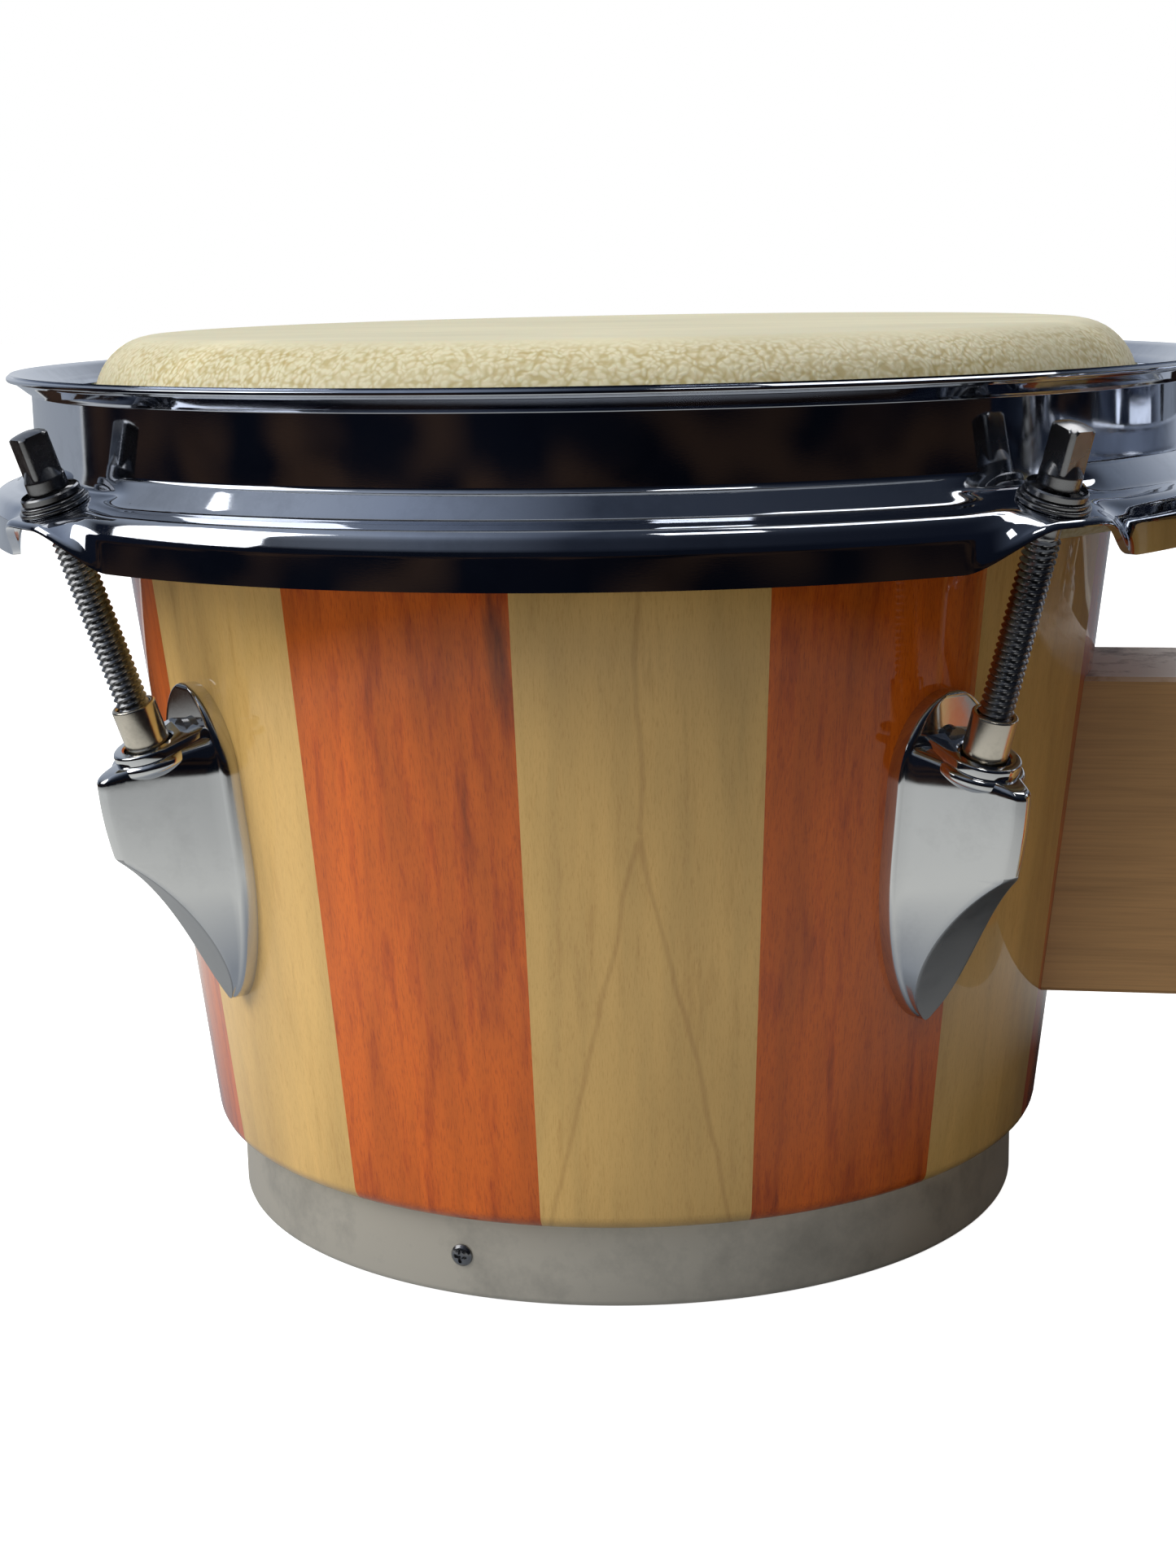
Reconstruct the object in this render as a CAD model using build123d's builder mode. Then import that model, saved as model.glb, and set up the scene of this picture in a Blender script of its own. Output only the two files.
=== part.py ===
from build123d import *
from math import cos, radians, sin
import os

os.makedirs("parts", exist_ok=True)

# A pair of bongo drums: two staved shells joined by a wooden bridge block. The origin is under the
# middle of the pair, on the surface it stands on. +X runs from the large drum to the small one.
# Every radius below is the large drum's.

# Pair
HEAD_GAP = 20.0                 # clear space between the two rims
SMALLER = 12.7                  # every radius of the small drum is this much less

# Shell
STAVES = 14
STAVE_ARC = 360 / STAVES
STAVE_TURN = -1.7               # how far the joint nearest the front is off the pair's front
SHELL_RADIUS_AT_TABLE = 82.2    # where the shell's cone would meet the table
SHELL_TAPER = 0.112             # radius gained per millimetre of height
SHELL_WALL = 11.0
SHELL_BOTTOM = 16.2             # lower edge of the wood that shows
SHELL_TOP = 170.8
SHELL_SHOULDER = 152.2          # the straight cone ends here
BEARING_ROUND = 10.0
BOTTOM_ROUND = 3.5

# Bottom ring
RING_RADIUS = 79.5
RING_SHEET = 1.6
RING_INSIDE = 71.6
RING_SCREWS = 3
RING_SCREW_HEIGHT = 8.2
RING_SCREW_FIRST = 256.5
RING_SCREW_HEAD = 2.1
RING_SCREW_SHANK = 1.3
RING_SCREW_DEPTH = 5.5

# Skin and flesh hoop
SKIN = 1.4
SKIN_RADIUS = 101.2
SKIN_TOP = 172.5
SKIN_ROUND = 12.0
COLLAR_BEND = 147.6
HOOP_RADIUS = 110.6
HOOP_HEIGHT = 141.7
HOOP_WIRE = 2.5
TUCK = 3.9                      # outer radius of the skin tucked round the hoop

# Rim
RIM_SHEET = 1.5
RIM_WALL = 112.9
RIM_SKIRT = 121.5
RIM_LIP = 117.5
RIM_LIP_HEIGHT = 165.0
RIM_FLARE = 162.4
RIM_SHELF = 148.9
RIM_FOOT = 0.3                  # the small step left where a washer's recess meets the wall
SKIRT_BOTTOM = 135.2
EAR_WIDTH = 25.0
EAR_REACH = 7.6                 # from the rod's axis to the ear's outer edge
EAR_SHEET = 1.8
SCALLOP_TOP = 143.4
SCALLOP_HALF = (6.0, 18.5)     # half widths of the scallop at its top and at the skirt's edge

# Tension rods. Heights along a rod are measured from the top of its nut.
LUG_ANGLES = (45, 135, 225, 315)
ROD_LEAN = 18.8
NUT_TOP_RADIUS = 107.2
NUT_TOP_HEIGHT = 109.1
ROD_RADIUS = 3.0
ROD_BELOW = 20.0
EAR_TOP = 38.0
WASHER_RADIUS = 6.2
WASHER = 0.8
WASHERS = 2
SEAT_GAP = 0.05
FLANGE_RADIUS = 5.3
FLANGE = 1.4
COLLAR = 2.8
KEY_SQUARE = 5.6
KEY_HEIGHT = 8.0
NUT_RADIUS = 4.0
NUT_LENGTH = 18.0
RUNNING = 0.05                  # radial clearance of the rod in its nut
EAR_HOLE = 3.4
EAR_SLIP = 2.2                  # the ear's hole is this much longer outwards

# Lugs
LUG_TOP = 111.8
LUG_TIP = 51.5
LUG_HALF_WIDTH = 10.8
LUG_FACE = 114.6
BOSS_RADIUS = 7.8
BOSS_BELOW_NUT_TOP = 7.6
BORE_DEPTH = 24.0
LUG_SCREW_HEIGHTS = (64.0, 103.0)
LUG_SCREW_RADIUS = 2.4
LUG_SCREW_BITE = 4.5
LUG_SCREW_HEAD = (4.4, 2.8)
LUG_WASHER_RADIUS = 6.2

# Bridge
BLOCK_LOW = 44.0
BLOCK_HIGH = 106.0
BLOCK_THICK = 38.5
BOLT_HEIGHTS = (60.0, 90.0)
BOLT_RADIUS = 4.0
BRIDGE_WASHER_RADIUS = 10.0
NUT_STAND_OFF = 4.0             # from the shell's inside to the nut's face
HEX_RADIUS = 7.5
HEX_THICK = 6.5
BOLT_SHOWS = 3.0

FAR = 200.0

large_width = 2 * RIM_SKIRT
small_width = 2 * (RIM_SKIRT - SMALLER)
pair_width = large_width + HEAD_GAP + small_width
large_x = (large_width - pair_width) / 2
small_x = (pair_width - small_width) / 2


class Drum:
    """One drum of the pair: its name, its place, its size and the way it faces the bridge."""

    def __init__(self, name, x, less, bridge_angle, stave_turn):
        self.name = name
        self.x = x
        self.less = less
        self.bridge_angle = bridge_angle
        self.stave_turn = stave_turn

    def outside(self, height):
        return SHELL_RADIUS_AT_TABLE + SHELL_TAPER * height - self.less

    def inside(self, height):
        return self.outside(height) - SHELL_WALL

    def place(self, angle=0):
        """The drum's own axes, turned so that +X points at the angle."""
        return Location((self.x, 0, 0), (0, 0, angle))

    def rod_plane(self, along=0):
        """At a rod that leans over +X: the plane square to the rod at this distance along it."""
        lean = radians(ROD_LEAN)
        radius = NUT_TOP_RADIUS - self.less + along * sin(lean)
        height = NUT_TOP_HEIGHT + along * cos(lean)
        return Plane((radius, 0, height), x_dir=(cos(lean), 0, -sin(lean)), z_dir=(sin(lean), 0, cos(lean)))


large = Drum("large", large_x, 0, 0, 1)
small = Drum("small", small_x, SMALLER, 180, -1)
drums = (large, small)


def save(part, label):
    part.label = label
    export_step(part, f"parts/{label}.step")


def shell_stave(drum):
    """One tapered stave, centred over +X, with the rounded bearing edge and the spigot for the ring."""
    top_outside = drum.outside(SHELL_SHOULDER)
    top_inside = drum.inside(SHELL_SHOULDER)
    spigot = RING_RADIUS - RING_SHEET - drum.less
    with BuildPart() as stave:
        with BuildSketch(Plane.XZ):
            with BuildLine():
                Polyline(
                    (drum.inside(RING_SHEET), RING_SHEET),
                    (spigot, RING_SHEET),
                    (spigot, SHELL_BOTTOM),
                    (drum.outside(SHELL_BOTTOM), SHELL_BOTTOM),
                    (top_outside, SHELL_SHOULDER),
                    (top_outside, SHELL_TOP),
                    (top_inside, SHELL_TOP),
                    (top_inside, SHELL_SHOULDER),
                    close=True,
                )
            profile = make_face()
            corners = profile.vertices()
            fillet(corners.sort_by_distance((top_outside, SHELL_TOP))[0], BEARING_ROUND)
            fillet(corners.sort_by_distance((drum.outside(SHELL_BOTTOM), SHELL_BOTTOM))[0], BOTTOM_ROUND)
        revolve(axis=Axis.Z, revolution_arc=STAVE_ARC)
    return stave.part.rotate(Axis.Z, -STAVE_ARC / 2)


def radial_holes(drum, angles, heights, radius):
    """Cuts level holes through the wall of the drum in the part being built."""
    for angle in angles:
        for height in heights:
            with Locations(drum.place(angle) * Location((drum.inside(height) - 8, 0, height), (0, 90, 0))):
                Cylinder(radius, SHELL_WALL * 3, align=(Align.CENTER, Align.CENTER, Align.MIN), mode=Mode.SUBTRACT)


def shell_staves(drum, stained):
    """Every second stave of a shell. The staves of one wood never touch each other."""
    stave = shell_stave(drum)
    first = 270 + STAVE_TURN + drum.stave_turn * STAVE_ARC * (0.5 - stained)
    with BuildPart() as staves:
        for k in range(STAVES // 2):
            with Locations(drum.place(first + 2 * k * STAVE_ARC)):
                add(stave)
        radial_holes(drum, LUG_ANGLES, LUG_SCREW_HEIGHTS, LUG_SCREW_RADIUS)
        radial_holes(drum, [drum.bridge_angle], BOLT_HEIGHTS, BOLT_RADIUS)
        ring_screw_holes(drum, SHELL_WALL)
    return staves.part


def ring_screw_angles(drum):
    return [RING_SCREW_FIRST + k * 360 / RING_SCREWS for k in range(RING_SCREWS)]


def ring_screw_holes(drum, depth):
    for angle in ring_screw_angles(drum):
        start = RING_RADIUS - drum.less - RING_SHEET - RING_SCREW_DEPTH
        with Locations(drum.place(angle) * Location((start, 0, RING_SCREW_HEIGHT), (0, 90, 0))):
            Cylinder(
                RING_SCREW_SHANK, depth, align=(Align.CENTER, Align.CENTER, Align.MIN), mode=Mode.SUBTRACT
            )


def bottom_ring(drum):
    """A band round the shell's foot with a lip turned in under the staves."""
    outer = RING_RADIUS - drum.less
    inner = RING_INSIDE - drum.less
    with BuildPart() as ring:
        with BuildSketch(Plane.XZ) as section:
            with BuildLine():
                Polyline(
                    (inner, 0),
                    (outer, 0),
                    (outer, SHELL_BOTTOM),
                    (outer - RING_SHEET, SHELL_BOTTOM),
                    (outer - RING_SHEET, RING_SHEET),
                    (inner, RING_SHEET),
                    close=True,
                )
            make_face()
            fillet(section.vertices().sort_by_distance((outer, 0))[0], RING_SHEET)
        revolve(axis=Axis.Z)
        for angle in ring_screw_angles(drum):
            with Locations(Location((0, 0, 0), (0, 0, angle)) * Location((0, 0, RING_SCREW_HEIGHT), (0, 90, 0))):
                Cylinder(
                    RING_SCREW_SHANK, FAR, align=(Align.CENTER, Align.CENTER, Align.MIN), mode=Mode.SUBTRACT
                )
    return drum.place() * ring.part


def ring_screw(drum):
    """A small pan-head screw with a cross recess, lying along +X."""
    outer = RING_RADIUS - drum.less
    head = RING_SCREW_HEAD
    with BuildPart() as screw:
        with BuildSketch(Plane.XZ.offset(0)) as section:
            with BuildLine():
                Polyline(
                    (outer - RING_SHEET - RING_SCREW_DEPTH, RING_SCREW_HEIGHT),
                    (outer - RING_SHEET - RING_SCREW_DEPTH + 2, RING_SCREW_HEIGHT + RING_SCREW_SHANK),
                    (outer, RING_SCREW_HEIGHT + RING_SCREW_SHANK),
                    (outer, RING_SCREW_HEIGHT + head),
                    (outer + 0.5, RING_SCREW_HEIGHT + head),
                    (outer + 1.1, RING_SCREW_HEIGHT + head * 0.6),
                    (outer + 1.1, RING_SCREW_HEIGHT),
                    close=True,
                )
            make_face()
        revolve(axis=Axis((0, 0, RING_SCREW_HEIGHT), (1, 0, 0)))
        with Locations((outer + 0.9, 0, RING_SCREW_HEIGHT)):
            Box(1.0, 0.5, 2.2, mode=Mode.SUBTRACT)
            Box(1.0, 2.2, 0.5, mode=Mode.SUBTRACT)
    return screw.part


def skin_head(drum):
    """A hide drawn over the bearing edge, down past it and round the flesh hoop."""
    less = drum.less
    outer = SKIN_RADIUS - less
    hoop = HOOP_RADIUS - less
    with BuildPart() as skin:
        with BuildSketch(Plane.XZ):
            with BuildLine():
                top = FilletPolyline(
                    (0, SKIN_TOP),
                    (outer, SKIN_TOP),
                    (outer, COLLAR_BEND),
                    (hoop, HOOP_HEIGHT + TUCK),
                    radius=[SKIN_ROUND, 4.5],
                )
                under = FilletPolyline(
                    (0, SKIN_TOP - SKIN),
                    (outer - SKIN, SKIN_TOP - SKIN),
                    (outer - SKIN, COLLAR_BEND - SKIN),
                    (hoop, HOOP_HEIGHT + TUCK - SKIN),
                    radius=[SKIN_ROUND - SKIN, 5.9],
                )
                Line((0, SKIN_TOP), (0, SKIN_TOP - SKIN))
                CenterArc((hoop, HOOP_HEIGHT), TUCK, 90, -270)
                CenterArc((hoop, HOOP_HEIGHT), TUCK - SKIN, 90, -270)
                Line((hoop - TUCK, HOOP_HEIGHT), (hoop - TUCK + SKIN, HOOP_HEIGHT))
            make_face()
        revolve(axis=Axis.Z)
    return drum.place() * skin.part


def flesh_hoop(drum):
    """The wire hoop that the skin is tucked round."""
    with BuildPart() as hoop:
        with BuildSketch(Plane.XZ):
            with Locations((HOOP_RADIUS - drum.less, HOOP_HEIGHT)):
                Circle(HOOP_WIRE)
        revolve(axis=Axis.Z)
    return drum.place() * hoop.part


def scallop(drum):
    """What the skirt leaves open under an ear, over +X."""
    with BuildPart() as gap:
        with BuildSketch(Plane.YZ.offset(RIM_WALL - drum.less)) as outline:
            with BuildLine():
                Polyline(
                    (-SCALLOP_HALF[1], SKIRT_BOTTOM - 1),
                    (-SCALLOP_HALF[0], SCALLOP_TOP),
                    (SCALLOP_HALF[0], SCALLOP_TOP),
                    (SCALLOP_HALF[1], SKIRT_BOTTOM - 1),
                    close=True,
                )
            make_face()
            fillet(outline.vertices().group_by(Axis.Y)[-1], 5)
        extrude(amount=RIM_SKIRT - RIM_WALL + 5)
    return gap.part


def ear(drum):
    """The flat plate that a rod bears on, square to the rod, over +X."""
    inwards = 6.5
    with BuildPart() as plate:
        with BuildSketch(drum.rod_plane(EAR_TOP - EAR_SHEET)) as outline:
            with Locations(((EAR_REACH - inwards) / 2, 0)):
                Rectangle(EAR_REACH + inwards, EAR_WIDTH)
            fillet(outline.vertices().group_by(Axis.X)[-1], 6)
        extrude(amount=EAR_SHEET)
    return plate.part


def ear_recess(drum):
    """The room for the washers: what the shelf leaves open above the ear, outside the wall."""
    with BuildPart() as recess:
        with BuildSketch(drum.rod_plane(EAR_TOP)):
            Circle(WASHER_RADIUS + 2)
        extrude(amount=FAR / 10)
        Cylinder(RIM_WALL - drum.less + RIM_FOOT, FAR, align=(Align.CENTER, Align.CENTER, Align.MIN), mode=Mode.SUBTRACT)
    return recess.part


def ear_hole(drum):
    """A slot that lets the ear move inwards past the leaning rod as the rim lifts."""
    with BuildPart() as hole:
        with BuildSketch(drum.rod_plane(EAR_TOP - EAR_SHEET)):
            with Locations((EAR_SLIP / 2, 0)):
                SlotCenterToCenter(EAR_SLIP, 2 * EAR_HOLE)
        extrude(amount=3 * EAR_SHEET, both=True)
    return hole.part


def rim(drum):
    """A pressed ring: flared lip, tall wall, shelf over the hoop, and a skirt scalloped at four ears."""
    wall = RIM_WALL - drum.less
    skirt = RIM_SKIRT - drum.less
    lip = RIM_LIP - drum.less
    with BuildPart() as pressing:
        with BuildSketch(Plane.XZ):
            with BuildLine():
                FilletPolyline(
                    (lip, RIM_LIP_HEIGHT - RIM_SHEET / 2),
                    (wall + 1.6, RIM_FLARE),
                    (wall, RIM_FLARE - 1.4),
                    (wall, RIM_SHELF),
                    (skirt, RIM_SHELF),
                    (skirt, SKIRT_BOTTOM),
                    radius=[1.0, 1.0, 0.6, 5.5],
                )
                Line((skirt, SKIRT_BOTTOM), (skirt - RIM_SHEET, SKIRT_BOTTOM))
                FilletPolyline(
                    (skirt - RIM_SHEET, SKIRT_BOTTOM),
                    (skirt - RIM_SHEET, RIM_SHELF - RIM_SHEET),
                    (wall - RIM_SHEET, RIM_SHELF - RIM_SHEET),
                    (wall - RIM_SHEET, RIM_FLARE - 0.4),
                    (wall + 0.4, RIM_FLARE + 1.3),
                    (lip, RIM_LIP_HEIGHT + RIM_SHEET / 2),
                    radius=[4.0, 0.8, 1.0, 1.0],
                )
                Line((lip, RIM_LIP_HEIGHT + RIM_SHEET / 2), (lip, RIM_LIP_HEIGHT - RIM_SHEET / 2))
            make_face()
        revolve(axis=Axis.Z)
        ears = [Location((0, 0, 0), (0, 0, angle)) for angle in LUG_ANGLES]
        for piece, mode in (
            (scallop(drum), Mode.SUBTRACT),
            (ear(drum), Mode.ADD),
            (ear_recess(drum), Mode.SUBTRACT),
            (ear_hole(drum), Mode.SUBTRACT),
        ):
            with Locations(*ears):
                add(piece, mode=mode)
    return drum.place() * pressing.part


def rod_washers(drum):
    """The thin washers between the ear and the rod's flange."""
    with BuildPart() as washers:
        with BuildSketch(drum.rod_plane(EAR_TOP + SEAT_GAP)):
            Circle(WASHER_RADIUS)
            Circle(ROD_RADIUS + RUNNING, mode=Mode.SUBTRACT)
        extrude(amount=WASHER)
        with BuildSketch(drum.rod_plane(EAR_TOP + SEAT_GAP + WASHER)):
            Circle(WASHER_RADIUS - 0.5)
            Circle(ROD_RADIUS + RUNNING, mode=Mode.SUBTRACT)
        extrude(amount=WASHER)
    return washers.part


def tension_rod(drum):
    """A threaded rod with a round flange, a coned collar and a square key head."""
    seat = EAR_TOP + WASHERS * WASHER + 2 * SEAT_GAP
    with BuildPart() as rod:
        with BuildSketch(drum.rod_plane(-ROD_BELOW)):
            Circle(ROD_RADIUS)
        extrude(amount=ROD_BELOW + seat)
        chamfer(rod.edges().filter_by(GeomType.CIRCLE).sort_by(Axis.Z)[0], 0.8)
        with BuildSketch(drum.rod_plane(seat)):
            Circle(FLANGE_RADIUS)
        extrude(amount=FLANGE)
        with BuildSketch(drum.rod_plane(seat + FLANGE)):
            Circle(FLANGE_RADIUS - 1.0)
        extrude(amount=COLLAR, taper=20)
        with BuildSketch(drum.rod_plane(seat + FLANGE)):
            Rectangle(KEY_SQUARE, KEY_SQUARE)
            fillet(vertices(), 0.9)
        extrude(amount=COLLAR + KEY_HEIGHT)
        top = rod.faces().sort_by(Axis.Z)[-1]
        chamfer(top.edges(), 0.6)
    return rod.part


def swivel_nut(drum):
    """The tube nut that stands in the lug."""
    with BuildPart() as nut:
        with BuildSketch(drum.rod_plane(-NUT_LENGTH)):
            Circle(NUT_RADIUS)
            Circle(ROD_RADIUS + RUNNING, mode=Mode.SUBTRACT)
        extrude(amount=NUT_LENGTH)
        chamfer(nut.edges().filter_by(GeomType.CIRCLE).sort_by(Axis.Z)[-1], 0.3)
    return nut.part


def lug(drum):
    """A cast lug: an oval foot on the shell, a body with a round boss, and a scooped underside."""
    shell = drum.outside(LUG_TIP) - 4
    face = LUG_FACE - drum.less
    top_shell = drum.outside(LUG_TOP)
    boss = drum.rod_plane(-BOSS_BELOW_NUT_TOP)
    with BuildPart() as casting:
        # Seen from outside: round at the top, drawn to a point at the bottom, and slimmer further out
        for offset, slimmer in ((shell, 0), (face + 1, 2.4)):
            half = LUG_HALF_WIDTH - slimmer
            with BuildSketch(Plane.YZ.offset(offset)):
                with BuildLine():
                    crown = ThreePointArc((-half, 96), (0, LUG_TOP), (half, 96))
                    Bezier(crown @ 1, (half, 76), (3.6, 66), (1.6, LUG_TIP))
                    Line((1.6, LUG_TIP), (-1.6, LUG_TIP))
                    Bezier((-1.6, LUG_TIP), (-3.6, 66), (-half, 76), crown @ 0)
                make_face()
        loft()
        # Seen from the side: foot, boss ledge, upright face and scooped underside
        with BuildSketch(Plane.XZ):
            with BuildLine():
                Polyline(
                    (drum.outside(LUG_TIP) + 2.6, LUG_TIP - 1),
                    (shell - 1, LUG_TIP - 1),
                    (shell - 1, LUG_TOP + 1),
                    (top_shell + 2.2, LUG_TOP + 1),
                    (top_shell + 2.8, 107.5),
                    (face - 15.0, 102.2),
                    (face - 1.5, 97.8),
                    (face, 96.0),
                    (face, 81.5),
                )
                Bezier(
                    (face, 81.5),
                    (face - 7, 76.5),
                    (face - 17, 68),
                    (drum.outside(LUG_TIP) + 2.6, LUG_TIP - 1),
                )
            make_face()
        extrude(amount=FAR / 10, both=True, mode=Mode.INTERSECT)
        with BuildSketch(boss):
            Circle(BOSS_RADIUS)
        extrude(amount=-9)
        with BuildSketch(boss):
            Circle(NUT_RADIUS + 0.1)
        extrude(amount=-(BORE_DEPTH - BOSS_BELOW_NUT_TOP), mode=Mode.SUBTRACT)
        # The back is hollowed to the shell's cone
        with BuildSketch(Plane.XZ):
            Polygon(
                (0, 0),
                (drum.outside(0), 0),
                (drum.outside(SHELL_SHOULDER), SHELL_SHOULDER),
                (0, SHELL_SHOULDER),
                align=None,
            )
        revolve(axis=Axis.Z, mode=Mode.SUBTRACT)
        for height in LUG_SCREW_HEIGHTS:
            with Locations(Location((0, 0, height), (0, 90, 0))):
                Cylinder(
                    LUG_SCREW_RADIUS,
                    drum.outside(height) + LUG_SCREW_BITE,
                    align=(Align.CENTER, Align.CENTER, Align.MIN),
                    mode=Mode.SUBTRACT,
                )
    return casting.part


def inside_washer(drum, height, radius, hole, face):
    """A washer whose back is shaped to the inside of the shell; its flat face is at this radius."""
    with BuildPart() as washer:
        with BuildSketch(Plane.YZ.offset(face)):
            with Locations((0, height)):
                Circle(radius)
                Circle(hole, mode=Mode.SUBTRACT)
        extrude(amount=SHELL_WALL)
        with BuildSketch(Plane.XZ):
            Polygon(
                (0, 0),
                (drum.inside(0), 0),
                (drum.inside(SHELL_SHOULDER), SHELL_SHOULDER),
                (0, SHELL_SHOULDER),
                align=None,
            )
        revolve(axis=Axis.Z, mode=Mode.INTERSECT)
    return washer.part


def lug_screw(drum, height):
    """A machine screw from inside the shell into the back of a lug, along +X."""
    face = drum.inside(height) - 2.2
    radius, thick = LUG_SCREW_HEAD
    with BuildPart() as screw:
        with BuildSketch(Plane.YZ.offset(face - thick)):
            with Locations((0, height)):
                Circle(radius)
        extrude(amount=thick)
        with BuildSketch(Plane.YZ.offset(face - thick)):
            with Locations((0, height)):
                Rectangle(0.9, 5)
                Rectangle(5, 0.9)
        extrude(amount=1.4, mode=Mode.SUBTRACT)
        with BuildSketch(Plane.YZ.offset(face)):
            with Locations((0, height)):
                Circle(LUG_SCREW_RADIUS)
        extrude(amount=drum.outside(height) + LUG_SCREW_BITE - face)
    return screw.part


def gather(pieces, locations):
    """Every piece at every location, as a group of separate solids."""
    with BuildPart() as group:
        for piece in pieces:
            with Locations(*locations):
                add(piece)
    return group.part


for drum in drums:
    at_lugs = [drum.place(angle) for angle in LUG_ANGLES]
    save(shell_staves(drum, stained=0), f"{drum.name}_staves_natural")
    save(shell_staves(drum, stained=1), f"{drum.name}_staves_stained")
    save(bottom_ring(drum), f"{drum.name}_bottom_ring")
    save(gather([ring_screw(drum)], [drum.place(a) for a in ring_screw_angles(drum)]), f"{drum.name}_ring_screws")
    save(skin_head(drum), f"{drum.name}_skin_head")
    save(flesh_hoop(drum), f"{drum.name}_flesh_hoop")
    save(rim(drum), f"{drum.name}_rim")
    for number, spot in enumerate(at_lugs, start=1):
        save(gather([tension_rod(drum)], [spot]), f"{drum.name}_tension_rod_{number}")
        save(gather([rod_washers(drum)], [spot]), f"{drum.name}_rod_washers_{number}")
        save(gather([swivel_nut(drum)], [spot]), f"{drum.name}_swivel_nut_{number}")
        save(gather([lug(drum)], [spot]), f"{drum.name}_lug_{number}")
    save(gather([lug_screw(drum, h) for h in LUG_SCREW_HEIGHTS], at_lugs), f"{drum.name}_lug_screws")
    lug_washers = [
        inside_washer(drum, h, LUG_WASHER_RADIUS, LUG_SCREW_RADIUS, drum.inside(h) - 2.2)
        for h in LUG_SCREW_HEIGHTS
    ]
    save(gather(lug_washers, at_lugs), f"{drum.name}_lug_screw_washers")

# Bridge block, its ends hollowed to the two cones
with BuildPart() as bridge_block:
    with Locations(((large.x + small.x) / 2, 0, (BLOCK_LOW + BLOCK_HIGH) / 2)):
        Box(small.x - large.x, BLOCK_THICK, BLOCK_HIGH - BLOCK_LOW)
    chamfer(bridge_block.edges().filter_by(Axis.X), 0.8)
    for drum in drums:
        with Locations((drum.x, 0, 0)):
            Cone(
                drum.outside(0),
                drum.outside(SHELL_SHOULDER),
                SHELL_SHOULDER,
                align=(Align.CENTER, Align.CENTER, Align.MIN),
                mode=Mode.SUBTRACT,
            )
    for height in BOLT_HEIGHTS:
        with Locations(Location((0, 0, height), (0, 90, 0))):
            Cylinder(BOLT_RADIUS, pair_width, mode=Mode.SUBTRACT)
save(bridge_block.part, "bridge_block")

# Two threaded rods run through both shells and the block
with BuildPart() as bridge_rods:
    for height in BOLT_HEIGHTS:
        reach = NUT_STAND_OFF + HEX_THICK + BOLT_SHOWS
        start = large.x + large.inside(height) - reach
        end = small.x - small.inside(height) + reach
        with BuildSketch(Plane.YZ.offset(start)):
            with Locations((0, height)):
                Circle(BOLT_RADIUS)
        extrude(amount=end - start)
save(bridge_rods.part, "bridge_rods")

with BuildPart() as bridge_washers:
    for drum in drums:
        for height in BOLT_HEIGHTS:
            face = drum.inside(height) - NUT_STAND_OFF
            with Locations(drum.place(drum.bridge_angle)):
                add(inside_washer(drum, height, BRIDGE_WASHER_RADIUS, BOLT_RADIUS, face))
save(bridge_washers.part, "bridge_washers")


def hex_nut(drum, height):
    face = drum.inside(height) - NUT_STAND_OFF
    with BuildPart() as nut:
        with BuildSketch(Plane.YZ.offset(face - HEX_THICK)):
            with Locations((0, height)):
                RegularPolygon(HEX_RADIUS, 6)
                Circle(BOLT_RADIUS, mode=Mode.SUBTRACT)
        extrude(amount=HEX_THICK)
    return nut.part


with BuildPart() as bridge_nuts:
    for drum in drums:
        for height in BOLT_HEIGHTS:
            with Locations(drum.place(drum.bridge_angle)):
                add(hex_nut(drum, height))
save(bridge_nuts.part, "bridge_nuts")
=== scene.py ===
import math
import random

import bmesh
import bpy
import numpy as np
from bpy.props import FloatProperty, FloatVectorProperty, IntProperty, PointerProperty
from mathutils import Matrix, Vector


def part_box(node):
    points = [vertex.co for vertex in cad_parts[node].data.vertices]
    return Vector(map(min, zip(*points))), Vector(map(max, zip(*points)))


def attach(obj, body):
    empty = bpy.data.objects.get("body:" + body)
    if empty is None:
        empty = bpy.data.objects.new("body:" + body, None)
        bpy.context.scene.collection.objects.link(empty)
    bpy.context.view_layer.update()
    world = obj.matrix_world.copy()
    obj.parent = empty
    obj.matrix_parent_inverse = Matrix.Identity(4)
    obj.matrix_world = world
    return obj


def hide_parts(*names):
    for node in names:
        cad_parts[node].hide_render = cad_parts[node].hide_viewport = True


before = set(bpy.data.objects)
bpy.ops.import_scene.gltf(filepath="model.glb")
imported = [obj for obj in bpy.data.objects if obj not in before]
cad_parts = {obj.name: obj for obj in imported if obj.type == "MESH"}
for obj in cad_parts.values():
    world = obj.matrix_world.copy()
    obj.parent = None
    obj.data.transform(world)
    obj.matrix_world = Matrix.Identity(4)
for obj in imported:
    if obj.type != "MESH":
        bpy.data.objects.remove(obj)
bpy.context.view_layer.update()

bl_info = {
    "name": "Bongo Drums",
    "version": (1, 0, 0),
    "blender": (4, 5, 0),
    "location": "3D View > Sidebar > Bongos",
    "description": "Builds a pair of staved bongo drums round their packed frame",
    "category": "Add Mesh",
}

MM = 0.001
TAU = math.tau

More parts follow.
